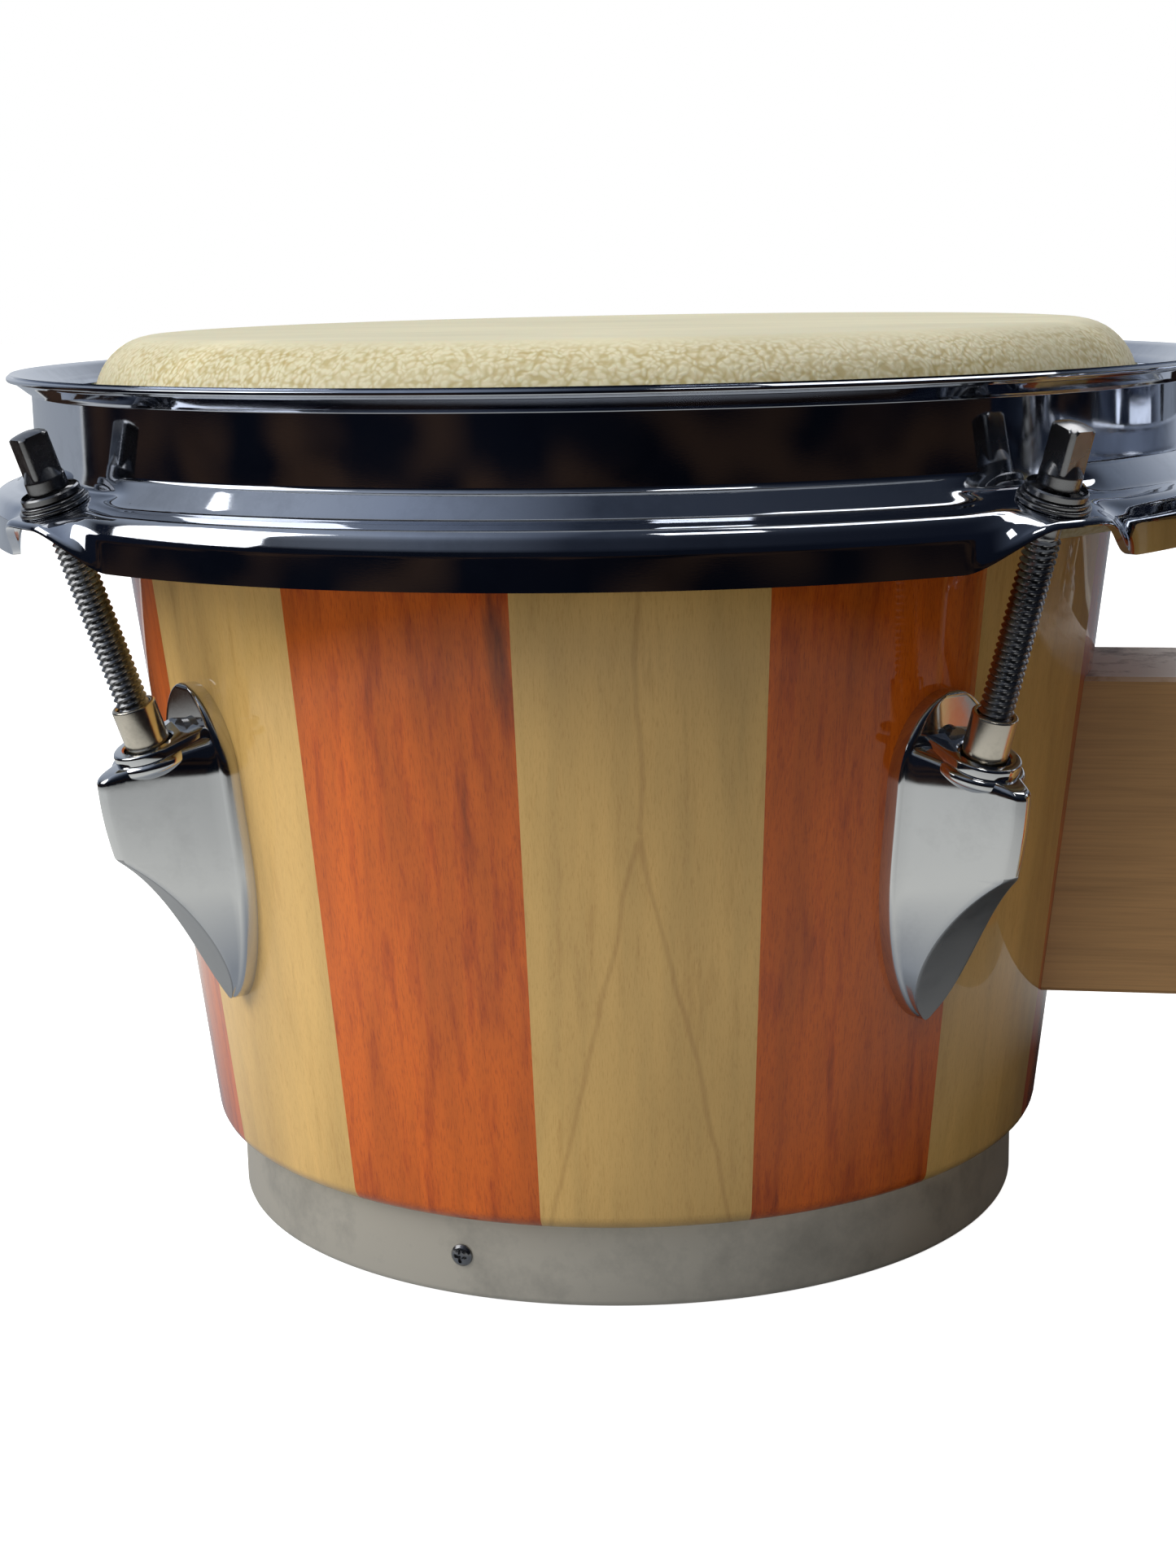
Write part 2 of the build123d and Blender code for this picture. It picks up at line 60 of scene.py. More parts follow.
# Sizes of the large drum in millimetres. Every radius of the small one is less by the same amount.
STAVES = 14
STAVE_ARC = TAU / STAVES
STAVE_TURN = math.radians(-1.7)
SHELL_AT_TABLE = 82.2
SHELL_TAPER = 0.112
SHELL_WALL = 11.0
SHELL_BOTTOM = 16.2
SHELL_SHOULDER = 152.2
SHELL_TOP = 170.8
RING_SHEET = 1.6
RING_INSIDE = 71.6
RING_SCREW_FIRST = math.radians(256.5)
RING_SCREW_HEIGHT = 8.2
SKIN_RADIUS = 101.2
SKIN_TOP = 172.5
COLLAR_BEND = 147.6
HOOP_RADIUS = 110.6
HOOP_HEIGHT = 141.7
TUCK = 3.9
RIM_WALL = 112.9
RIM_SKIRT = 121.5
RIM_LIP = 117.5
RIM_LIP_TOP = 165.8
SKIRT_BOTTOM = 135.2
LUG_ANGLES = [math.radians(a) for a in (45, 135, 225, 315)]
ROD_LEAN = math.radians(18.8)
NUT_TOP_RADIUS = 107.2
NUT_TOP_HEIGHT = 109.1
ROD_RADIUS = 3.0
EAR_TOP = 38.0
WASHER = 0.8
LUG_TOP = 111.8
LUG_TIP = 51.5
LUG_HALF_WIDTH = 10.8
LUG_NOSE = 114.8
LUG_NOSE_ROUND = 2.8
LUG_EDGE = 1.1
SCOOP_TOP = 81.3
NOSE_BENDS_AT = 99.0
NOSE_BEND = 0.0085
BOSS_BELOW = 7.6
SEAT_HEIGHT = 1.7
THREAD_FROM = -4.0
THREAD_TO = 33.0

# The camera: millimetres from the large drum's axis and above the table, the turns of its aim, its lens.
CAMERA_AWAY = 495.5
CAMERA_HEIGHT = 184.1
CAMERA_ASIDE = math.radians(0.79)
CAMERA_DOWN = math.radians(11.87)
CAMERA_ROLL = math.radians(-1.13)
LENS = 56.7
SENSOR = 36.0


class Drum:
    """One drum: its name, the middle of its foot, and how much smaller than the large one it is."""

    def __init__(self, name, large_foot=None):
        low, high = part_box(f"{name}_bottom_ring")
        self.name = name
        self.x = (low[0] + high[0]) / 2 / MM
        self.foot = (high[1] - low[1]) / 2 / MM
        self.less = 0.0 if large_foot is None else large_foot - self.foot
        self.hand = 1 if large_foot is None else -1

    def outside(self, height):
        return SHELL_AT_TABLE + SHELL_TAPER * height - self.less

    def inside(self, height):
        return self.outside(height) - SHELL_WALL

    def turn(self, angle):
        """Puts a piece made over +X at this angle round the drum."""
        return Matrix.Translation((self.x, 0, 0)) @ Matrix.Rotation(angle, 4, "Z")

    def rod(self, angle):
        """Puts a piece made along Z, with the top of the nut at zero, on the leaning rod."""
        nut_top = Matrix.Translation((NUT_TOP_RADIUS - self.less, 0, NUT_TOP_HEIGHT))
        return self.turn(angle) @ nut_top @ Matrix.Rotation(ROD_LEAN, 4, "Y")


LARGE = Drum("large")
SMALL = Drum("small", LARGE.foot)
DRUMS = (LARGE, SMALL)


# -------------------------------------------------------------------- meshes


def rounded(corners, steps=6):
    """A path of (r, z) points through (r, z, radius) corners, each rounded by its radius."""
    path = []
    for i, (r, z, radius) in enumerate(corners):
        if radius <= 0 or i in (0, len(corners) - 1):
            path.append((r, z))
            continue
        here = np.array((r, z))
        back = np.array(corners[i - 1][:2]) - here
        on = np.array(corners[i + 1][:2]) - here
        back = back / np.linalg.norm(back)
        on = on / np.linalg.norm(on)
        half = math.acos(float(np.clip(back @ on, -1, 1))) / 2
        reach = radius / math.tan(half)
        centre = here + (back + on) / np.linalg.norm(back + on) * radius / math.sin(half)
        start = here + back * reach - centre
        end = here + on * reach - centre
        sweep = math.atan2(start[0] * end[1] - start[1] * end[0], start @ end)
        for k in range(steps + 1):
            a = sweep * k / steps
            c, s = math.cos(a), math.sin(a)
            path.append(tuple(centre + (c * start[0] - s * start[1], s * start[0] + c * start[1])))
    return path


def spread(path, gap):
    """Adds points to a path so that none are further apart than the gap."""
    out = [path[0]]
    for a, b in zip(path, path[1:]):
        n = max(1, math.ceil(math.dist(a, b) / gap))
        out += [tuple(a[k] + (b[k] - a[k]) * i / n for k in (0, 1)) for i in range(1, n + 1)]
    return out


def net(rows, columns, loop_rows=False, loop_columns=False, start=0):
    """Faces of a net of points stored row by row."""
    faces = []
    for i in range(rows if loop_rows else rows - 1):
        for j in range(columns if loop_columns else columns - 1):
            i2, j2 = (i + 1) % rows, (j + 1) % columns
            corners = (i * columns + j, i * columns + j2, i2 * columns + j2, i2 * columns + j)
            faces.append(tuple(start + n for n in corners))
    return faces


def turned(path, segments=256, closed=True, bend=None):
    """Points and faces of a path turned round Z. bend(angle, path) may change it with the angle."""
    points = []
    for i in range(segments):
        a = TAU * i / segments
        here = path if bend is None else bend(a, path)
        points += [(r * math.cos(a), r * math.sin(a), z) for r, z in here]
    return points, net(segments, len(path), True, closed)


def moved(matrix, points):
    """The points, each put through the matrix."""
    return [tuple(matrix @ Vector(p)) for p in points]


def joined(*pieces):
    """Several (points, faces) as one."""
    points, faces = [], []
    for more, sides in pieces:
        start = len(points)
        points += list(more)
        faces += [tuple(start + n for n in side) for side in sides]
    return points, faces


def piece(name, shape, material, body, stands_for=(), sharp=40):
    """A finished object, given in millimetres, on its body and in place of the nodes it stands for."""
    points, faces = shape
    mesh = bpy.data.meshes.new(name)
    mesh.from_pydata([(x * MM, y * MM, z * MM) for x, y, z in points], [], faces)
    mesh.validate()
    mesh.update()
    mesh.shade_smooth()
    mesh.set_sharp_from_angle(angle=math.radians(sharp))
    mesh.materials.append(material)
    obj = bpy.data.objects.new(name, mesh)
    bpy.context.scene.collection.objects.link(obj)
    if stands_for:
        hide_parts(*stands_for)
    if body:
        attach(obj, body)
    return obj


def apply_modifiers(obj):
    """Makes the modifiers' result the object's own mesh."""
    ready = obj.evaluated_get(bpy.context.evaluated_depsgraph_get())
    mesh = bpy.data.meshes.new_from_object(ready)
    old = obj.data
    obj.modifiers.clear()
    obj.data = mesh
    bpy.data.meshes.remove(old)


# --------------------------------------------------------- nodes and colours


def linear(text):
    """A hex colour as linear light."""
    parts = [int(text[i : i + 2], 16) / 255 for i in (1, 3, 5)]
    return tuple(c / 12.92 if c <= 0.04045 else ((c + 0.055) / 1.055) ** 2.4 for c in parts) + (1.0,)


def new_material(name, **values):
    """A material, its node tree and its shader, with the shader's plain values set."""
    material = bpy.data.materials.new(name)
    material.use_nodes = True
    tree = material.node_tree
    shader = tree.nodes["Principled BSDF"]
    for socket, value in values.items():
        shader.inputs[socket.replace("_", " ")].default_value = value
    return material, tree, shader


def add(tree, kind, inputs=None, stops=(), **settings):
    """Adds a shader node. Inputs are plain values, or the nodes or sockets that feed them; stops are the
    (place, colour) pairs of a ramp; settings are the node's own properties."""
    node = tree.nodes.new("ShaderNode" + kind)
    for name, value in settings.items():
        setattr(node, name, value)
    for socket, value in (inputs or {}).items():
        if isinstance(value, bpy.types.Node):
            value = value.outputs[0]
        if isinstance(value, bpy.types.NodeSocket):
            tree.links.new(value, node.inputs[socket])
        else:
            node.inputs[socket].default_value = value
    if stops:
        line = node.color_ramp.elements
        while len(line) < len(stops):
            line.new(0.5)
        for stop, (place, colour) in zip(line, stops):
            stop.position = place
            stop.color = linear(colour) if isinstance(colour, str) else colour
    return node


def per(mm):
    """The scale of a pattern whose features are this many millimetres apart."""
    return 1 / (mm * MM)


def toned(colour, share):
    """A darker or lighter cast of a linear colour."""
    return tuple(min(1.0, c * share) for c in colour[:3]) + (1.0,)


RGB = {"data_type": "RGBA"}
TIMES = {"data_type": "RGBA", "blend_type": "MULTIPLY"}


def wood(name, words):
    """Wood under gloss lacquer. words: tones of the broad bands, of the fibres and of the streaks,
    the fibre and streak spacing in millimetres, and how strong the streaks are."""
    material, tree, shader = new_material(
        name, Roughness=0.45, Coat_Weight=1.0, Coat_Roughness=0.03, Specular_IOR_Level=0.2
    )
    grain = add(tree, "Attribute", attribute_name="grain").outputs["Vector"]
    noises = []
    for spacing, along, detail in (
        (words["fibre"], 16.0, 5.0), (9.0, 120.0, 3.0), (words["streak"], 45.0, 5.0)
    ):
        scale = (per(spacing), per(along), per(spacing))
        place = add(tree, "Mapping", {"Vector": grain, "Scale": scale})
        noises.append(
            add(tree, "TexNoise", {"Vector": place, "Scale": 1.0, "Detail": detail, "Roughness": 0.62})
        )
    fibres, bands, streaks = (noise.outputs["Fac"] for noise in noises)
    tone = add(tree, "ValToRGB", {"Fac": bands}, stops=words["bands"]).outputs[0]
    fine = add(tree, "ValToRGB", {"Fac": fibres}, stops=words["fibres"]).outputs[0]
    smoky = add(tree, "ValToRGB", {"Fac": streaks}, stops=words["streaks"]).outputs[0]
    first = add(tree, "Mix", {6: tone, 7: fine, 0: words["fibre_share"]}, **TIMES).outputs[2]
    second = add(tree, "Mix", {6: first, 7: smoky, 0: words["streak_share"]}, **TIMES).outputs[2]
    bump = add(tree, "Bump", {"Height": fibres, "Strength": 0.12, "Distance": 0.06 * MM})
    tree.links.new(bump.outputs[0], shader.inputs["Normal"])
    return material, tree, shader, grain, second


def lacquered_maple(colours):
    """Maple staves, planed and sprayed with gloss lacquer: pale straw, with fine upright fibres, and
    where the saw ran flat to the rings, one thin brown line drawn up into a peak."""
    material, tree, shader, grain, tone = wood(
        "lacquered_maple",
        {
            "bands": (
                (0.3, toned(colours.maple, 0.84)), (0.5, colours.maple), (0.7, toned(colours.maple, 1.13))
            ),
            "fibres": ((0.3, "#C9A77A"), (0.5, "#FFFFFF"), (0.7, "#FFFFFF")),
            "streaks": ((0.3, "#CDB38E"), (0.45, "#FFFFFF")),
            "fibre": 0.2, "streak": 2.2, "fibre_share": 0.32, "streak_share": 0.25,
        },
    )
    # The growth line is where height + slope * distance from the stave's middle is nought.
    wobble = add(tree, "TexNoise", {"Vector": grain, "Scale": per(18.18), "Detail": 2.0})
    part = add(tree, "SeparateXYZ", {"Vector": grain})
    moved_x = add(
        tree, "Math", {0: wobble.outputs["Fac"], 2: part.outputs["X"], 1: 3 * MM}, operation="MULTIPLY_ADD"
    )
    centred = add(tree, "Math", {0: moved_x, 1: 1.5 * MM}, operation="SUBTRACT")
    square = add(tree, "Math", {0: centred, 1: 2.0}, operation="POWER")
    away = add(tree, "Math", {0: centred}, operation="ABSOLUTE")
    blunt = add(tree, "Math", {0: square, 1: 0.4 * MM**2}, operation="ADD")
    root = add(tree, "Math", {0: blunt, 1: 0.5}, operation="POWER")
    height = add(tree, "Math", {0: root, 2: part.outputs["Y"], 1: 4.6}, operation="MULTIPLY_ADD")
    legs = add(tree, "Math", {0: height}, operation="ABSOLUTE")
    # Above the peak the same line runs straight up.
    above = add(
        tree, "MapRange",
        {"Value": part.outputs["Y"], "From Min": -6 * MM, "From Max": -1 * MM, "To Min": 1.0, "To Max": 0.0}
    )
    stem = add(tree, "Math", {0: away, 2: above, 1: 4.0}, operation="MULTIPLY_ADD")
    nearest = add(tree, "Math", {0: legs, 1: stem}, operation="MINIMUM")
    line = add(
        tree, "MapRange",
        {"Value": nearest, "From Min": 0.4 * MM, "From Max": 3.6 * MM, "To Min": 0.26, "To Max": 0.0},
        interpolation_type="SMOOTHSTEP"
    )
    figure = add(tree, "Attribute", attribute_name="figure")
    share = add(tree, "Math", {0: line, 1: figure.outputs["Fac"]}, operation="MULTIPLY")
    lined = add(tree, "Mix", {0: share, 6: tone, 7: linear("#9A6A32")}, **RGB)
    tree.links.new(lined.outputs[2], shader.inputs["Base Color"])
    return material


def stained_maple(colours):
    """Maple staves wiped with orange-red stain under the same lacquer: it gathers in the pores as fine
    dark dashes, in smoky streaks, and round one small knot near the edge of a front stave."""
    material, tree, shader, grain, tone = wood(
        "stained_maple",
        {
            "bands": (
                (0.28, toned(colours.stain, 0.74)), (0.5, colours.stain), (0.72, toned(colours.stain, 1.24))
            ),
            "fibres": ((0.3, "#B0805E"), (0.5, "#FFFFFF"), (0.7, "#FFFFFF")),
            "streaks": ((0.26, "#7C4A30"), (0.38, "#D9B9A4"), (0.5, "#FFFFFF")),
            "fibre": 0.22, "streak": 2.6, "fibre_share": 0.55, "streak_share": 0.6,
        },
    )
    # The knot's middle across and up the last stave, its half sizes, and that stave's radius there.
    across, up, wide, tall, depth = 19.2, 124.0, 2.2, 14.0, 130.09
    cut = cut_of(LARGE)[0][STAVES - 1]
    centre = ((across * MM + cut[0]) * per(wide), (up * MM + cut[1]) * per(tall), depth)
    place = add(tree, "Mapping", {"Vector": grain, "Scale": (per(wide), per(tall), 1.0)})
    rough_edge = add(tree, "TexNoise", {"Vector": place, "Scale": 1.6, "Detail": 4.0})
    distance = add(tree, "VectorMath", {0: place, 1: centre}, operation="DISTANCE")
    near = add(
        tree, "Math", {0: rough_edge.outputs["Fac"], 2: distance.outputs["Value"], 1: 1.6},
        operation="MULTIPLY_ADD"
    )
    knot = add(
        tree, "MapRange", {"Value": near, "From Min": 0.9, "From Max": 2.1, "To Min": 0.75, "To Max": 0.0}
    )
    marked = add(tree, "Mix", {0: knot, 6: tone, 7: linear("#4A2314")}, **RGB)
    tree.links.new(marked.outputs[2], shader.inputs["Base Color"])
    return material


def sealed_hardwood(colours):
    """The bridge block: hardwood sanded and only sealed, so it is matt. The grain runs level, and the
    top is pale grey: real handling marks, with painted light from above."""
    material, tree, shader = new_material("sealed_hardwood", Roughness=0.6)
    place = add(tree, "TexCoord").outputs["Object"]
    fine = add(tree, "Mapping", {"Vector": place, "Scale": (per(25), per(0.5556), per(0.5556))})
    fibres = add(tree, "TexNoise", {"Vector": fine, "Scale": 1.0, "Detail": 5.0, "Roughness": 0.6})
    broad = add(tree, "Mapping", {"Vector": place, "Scale": (per(200), per(33.33), per(20.83))})
    rings = add(tree, "TexNoise", {"Vector": broad, "Scale": 1.0, "Detail": 1.5, "Distortion": 0.5})
    bands = add(tree, "Math", {0: rings.outputs["Fac"], 1: 0.08}, operation="PINGPONG")
    wide = add(tree, "Math", {0: bands, 1: 12.0}, operation="MULTIPLY")
    tone = add(
        tree, "ValToRGB", {"Fac": wide},
        stops=((0.0, toned(colours.block, 0.93)), (0.2, colours.block), (0.8, toned(colours.block, 1.05)))
    )
    soft = add(tree, "ValToRGB", {"Fac": fibres.outputs["Fac"]}, stops=((0.3, "#DCDCDC"), (0.6, "#FFFFFF")))
    mixed = add(tree, "Mix", {6: tone, 7: soft, 0: 0.6}, **TIMES)
    smudge = add(tree, "TexNoise", {"Vector": place, "Scale": per(11.11), "Detail": 6.0, "Roughness": 0.7})
    # Smudged, near-white tone for the top: real handling marks, over painted light that the top gets from
    # above.
    smudged_lit_top = add(
        tree, "ValToRGB", {"Fac": smudge.outputs["Fac"]}, stops=((0.34, "#8E8484"), (0.5, "#F0EBE8"))
    )
    # Faces that look up take this tone: painted light on the top, with the handling marks in it.
    part = add(tree, "SeparateXYZ", {"Vector": add(tree, "NewGeometry").outputs["Normal"]})
    upward = add(
        tree, "MapRange", {"Value": part.outputs["Z"], "From Min": 0.6, "From Max": 0.9, "To Max": 0.9}
    )
    worn = add(tree, "Mix", {0: upward, 6: mixed.outputs[2], 7: smudged_lit_top}, **RGB)
    tree.links.new(worn.outputs[2], shader.inputs["Base Color"])
    bump = add(tree, "Bump", {"Height": fibres.outputs["Fac"], "Strength": 0.25, "Distance": 0.1 * MM})
    tree.links.new(bump.outputs[0], shader.inputs["Normal"])
    return material


def metal(name, bright, stained, roughness, scratch_mm, depth, stretch=(1, 1, 1), metallic=1.0):
    """Shared by the metals: a bright and a stained colour in soft patches, roughness that follows the
    patches, and fine scratches of this spacing."""
    material, tree, shader = new_material(name, Metallic=metallic)
    place = add(tree, "TexCoord").outputs["Object"]
    lines = add(tree, "Mapping", {"Vector": place, "Scale": stretch})
    scratches = add(tree, "TexNoise", {"Vector": lines, "Scale": per(scratch_mm), "Detail": 4.0})
    patches = add(tree, "TexNoise", {"Vector": place, "Scale": per(20), "Detail": 6.0, "Roughness": 0.68})
    rough = add(
        tree, "MapRange",
        {
            "Value": patches.outputs["Fac"], "From Min": 0.35, "From Max": 0.75, "To Min": roughness[0],
            "To Max": roughness[1]
        }
    )
    tree.links.new(rough.outputs[0], shader.inputs["Roughness"])
    tone = add(tree, "ValToRGB", {"Fac": patches.outputs["Fac"]}, stops=((0.3, stained), (0.5, bright)))
    tree.links.new(tone.outputs[0], shader.inputs["Base Color"])
    bump = add(tree, "Bump", {"Height": scratches.outputs["Fac"], "Strength": depth, "Distance": 0.02 * MM})
    tree.links.new(bump.outputs[0], shader.inputs["Normal"])
    return material


def chromed_steel(colours):
    """The rims: pressed steel, polished and chromed, mirror bright with a faint haze of handling."""
    return metal("chromed_steel", colours.rim, toned(colours.rim, 0.82), (0.03, 0.08), 1.0, 0.05, (1, 1, 6))


def chromed_casting(colours):
    """The lugs: cast zinc, buffed and chromed, a little softer than the rims."""
    return metal("chromed_casting", colours.lug, toned(colours.lug, 0.88), (0.04, 0.12), 1.2, 0.1)


def chromed_cast_skin(colours):
    """The hollow under each lug, chromed over the unbuffed casting: an even grey satin."""
    return metal(
        "chromed_cast_skin", toned(colours.lug, 0.64), toned(colours.lug, 0.56), (0.36, 0.46), 0.4, 0.3
    )


def nickelled_brass(colours):
    """The tube nuts: turned brass plated with nickel, a warm white with fine turning rings."""
    return metal(
        "nickelled_brass", colours.nickel, toned(colours.nickel, 0.6), (0.14, 0.3), 0.5, 0.25, (1, 1, 5)
    )


def nickelled_steel(colours):
    """Rods, keys and washers: rolled and nickelled steel, warmer and duller than the chrome."""
    return metal("nickelled_steel", colours.steel, toned(colours.steel, 0.5), (0.2, 0.36), 0.6, 0.3)


def mill_aluminium(colours):
    """The foot rings: aluminium strip with its mill finish, dull, with fine level lines and smudges."""
    return metal(
        "mill_finish_aluminium", colours.ring, toned(colours.ring, 0.74), (0.42, 0.55), 1.2, 0.12,
        (0.1, 0.1, 3), 0.7
    )


def rawhide(colours):
    """Thick hide, shaved, soaked and dried tight: cream with faint streaks, smooth where it is flat and
    drawn into small soft grains where it bends over the shell, with painted shade in the hollows between
    them."""
    material, tree, shader = new_material(
        "rawhide", Roughness=0.5, Subsurface_Weight=0.08, Subsurface_Scale=3 * MM
    )
    place = add(tree, "TexCoord").outputs["Object"]
    grain_mm = 0.95
    wander = add(tree, "TexNoise", {"Vector": place, "Scale": per(3.846), "Detail": 2.0})
    bent = add(
        tree, "Mix", {6: place, 7: wander.outputs["Color"], 0: 1.6 * MM}, data_type="RGBA",
        blend_type="LINEAR_LIGHT"
    )
    grains = add(
        tree, "TexVoronoi", {"Vector": bent.outputs[2], "Scale": per(grain_mm), "Smoothness": 0.6},
        feature="SMOOTH_F1"
    )
    part = add(tree, "SeparateXYZ", {"Vector": place})
    shoulder = add(
        tree, "MapRange",
        {"Value": part.outputs["Z"], "From Min": (SKIN_TOP - 0.1) * MM, "From Max": (SKIN_TOP - 2) * MM}
    )
    patchy = add(tree, "TexNoise", {"Vector": place, "Scale": per(33.33), "Detail": 3.0})
    worn = add(
        tree, "MapRange", {"Value": patchy.outputs["Fac"], "From Min": 0.3, "From Max": 0.6, "To Min": 0.35}
    )
    amount = add(tree, "Math", {0: shoulder, 1: worn}, operation="MULTIPLY")
    stretched = add(tree, "Mapping", {"Vector": place, "Scale": (per(83.33), per(22.22), per(83.33))})
    streaks = add(tree, "TexNoise", {"Vector": stretched, "Scale": 1.0, "Detail": 4.0, "Distortion": 0.6})
    tone = add(
        tree, "ValToRGB", {"Fac": streaks.outputs["Fac"]},
        stops=((0.3, toned(colours.hide, 0.9)), (0.55, colours.hide), (0.75, toned(colours.hide, 1.09)))
    )
    # Painted shade: the hollows between the grains are drawn darker.
    hollow = add(
        tree, "ValToRGB", {"Fac": grains.outputs["Distance"]}, stops=((0.3, "#FFFFFF"), (0.75, "#D6C9A2"))
    )
    mixed = add(tree, "Mix", {0: amount, 6: tone, 7: hollow}, **TIMES)
    tree.links.new(mixed.outputs[2], shader.inputs["Base Color"])
    raised = add(tree, "Math", {0: grains.outputs["Distance"], 1: amount}, operation="MULTIPLY")
    bump = add(tree, "Bump", {"Height": raised, "Strength": 0.35, "Distance": 0.3 * MM}, invert=True)
    tree.links.new(bump.outputs[0], shader.inputs["Normal"])
    return material


MATERIALS = {}


def finish_of(name):
    """The material of this name, made once."""
    makers = {
        "maple": lacquered_maple, "stained": stained_maple, "block": sealed_hardwood, "rim": chromed_steel,
        "lug": chromed_casting, "scoop": chromed_cast_skin, "nickel": nickelled_brass,
        "steel": nickelled_steel, "band": mill_aluminium, "hide": rawhide,
    }
    if name not in MATERIALS:
        MATERIALS[name] = makers[name](bpy.context.scene.bongo_colours)
    return MATERIALS[name]


# -------------------------------------------------------------------- pieces


def shell_path(drum):
    """The section of a stave, starting at the inside of the foot."""
    spigot = drum.foot - RING_SHEET
    top_outside = drum.outside(SHELL_SHOULDER)
    top_inside = drum.inside(SHELL_SHOULDER)
    corners = [
        (drum.inside(RING_SHEET), RING_SHEET, 0),
        (spigot, RING_SHEET, 0),
        (spigot, SHELL_BOTTOM, 0.3),
        (drum.outside(SHELL_BOTTOM), SHELL_BOTTOM, 3.5),
        (top_outside, SHELL_SHOULDER, 25),
        (top_outside, SHELL_TOP, 9.9),
        (top_inside, SHELL_TOP, 0.8),
        (top_inside, SHELL_SHOULDER, 20),
        (drum.inside(RING_SHEET), RING_SHEET, 0),
    ]
    return spread(rounded(corners)[:-1], 9)


def cut_of(drum):
    """Where in the tree each stave was cut, and how strongly the saw has laid open its growth lines."""
    rng = random.Random(7 if drum.less else 3)
    starts = [(rng.uniform(-0.008, 0.008), rng.uniform(-0.25, -0.02), 10.0 * k) for k in range(STAVES)]
    strengths = [rng.uniform(0.0, 0.35) for k in range(STAVES)]
    starts[0] = (0.0006, -0.0915, 0.0)
    strengths[0] = 0.3 if drum.less else 1.0
    return starts, strengths


def staves(drum, stained, material):
    """Every second stave as a closed wedge. 'grain' holds its own stretch of timber, 'figure' how
    strongly the saw has laid open the growth lines in it."""
    path = shell_path(drum)
    steps = 10
    points, faces, grain, figure = [], [], [], []
    starts, strengths = cut_of(drum)
    for k in range(stained, STAVES, 2):
        low = drum.hand * k * STAVE_ARC
        start = len(points)
        for i in range(steps + 1):
            f = i / steps
            a = 1.5 * math.pi + STAVE_TURN + low + drum.hand * STAVE_ARC * f
            for r, z in path:
                points.append((drum.x + r * math.cos(a), r * math.sin(a), z))
                across = (f - 0.5) * STAVE_ARC * r * MM
                grain.append((across + starts[k][0], z * MM + starts[k][1], starts[k][2] + r * MM))
                figure.append(strengths[k])
        sides = net(steps + 1, len(path), False, True, start)
        first = tuple(range(start, start + len(path)))
        last = tuple(n + steps * len(path) for n in first)
        if drum.hand > 0:
            faces += sides + [first, last[::-1]]
        else:
            faces += [side[::-1] for side in sides] + [first[::-1], last]
    kind = "stained" if stained else "natural"
    name = f"{drum.name}_shell_{kind}"
    obj = piece(
        name, (points, faces), material, "shells", [f"{drum.name}_staves_{kind}"], 30
    )
    layer = obj.data.attributes.new("grain", "FLOAT_VECTOR", "POINT")
    layer.data.foreach_set("vector", np.array(grain, dtype=np.float32).ravel())
    layer = obj.data.attributes.new("figure", "FLOAT", "POINT")
    layer.data.foreach_set("value", np.array(figure, dtype=np.float32))
    return obj


def foot_ring(drum, material):
    """The metal strip round the foot, with its lower edge turned in under the staves."""
    outer, inner = drum.foot, RING_INSIDE - drum.less
    path = rounded(
        [
            (inner, RING_SHEET, 0), (inner, 0, 0.7), (outer, 0, 1.5), (outer, SHELL_BOTTOM, 0.35),
            (outer - RING_SHEET, SHELL_BOTTOM, 0.2), (outer - RING_SHEET, RING_SHEET, 0.3),
            (inner, RING_SHEET, 0),
        ]
    )[:-1]
    points, faces = turned(spread(path, 4), 288)
    return piece(
        f"{drum.name}_foot_ring", (moved(drum.turn(0), points), faces), material, "shells",
        [f"{drum.name}_bottom_ring"],
    )


def pan_head_screw(drum):
    """A small domed head with a cross cut into it, and its shank, along +X at the ring's height."""
    dome = [
        (0.0, 1.05), (0.9, 0.98), (1.6, 0.72), (2.05, 0.3), (2.1, 0.0), (1.3, 0.0), (1.2, -7.0), (0.0, -7.8)
    ]
    segments = 48

    def crossed(a, path):
        """Sinks the dome where the driver goes in."""
        arm = min(abs(math.sin(a)), abs(math.cos(a)))
        out = []
        for r, z in path:
            in_cross = r * arm < 0.28 and r < 1.25 and z > 0.5
            out.append((r, z - (0.55 if in_cross else 0)))
        return out

    path = spread(dome[:4], 0.12) + dome[4:]
    points, faces = turned(path, segments, False, crossed)
    to_side = Matrix.Translation((drum.foot, 0, RING_SCREW_HEIGHT)) @ Matrix.Rotation(math.pi / 2, 4, "Y")
    return moved(to_side, points), faces


def ring_screws(drum, count, material):
    shape = pan_head_screw(drum)
    angles = [RING_SCREW_FIRST + TAU * k / count for k in range(count)]
    all_screws = joined(*[(moved(drum.turn(a), shape[0]), shape[1]) for a in angles])
    return piece(
        f"{drum.name}_foot_screws", all_screws, material, "shells", [f"{drum.name}_ring_screws"],
        25,
    )


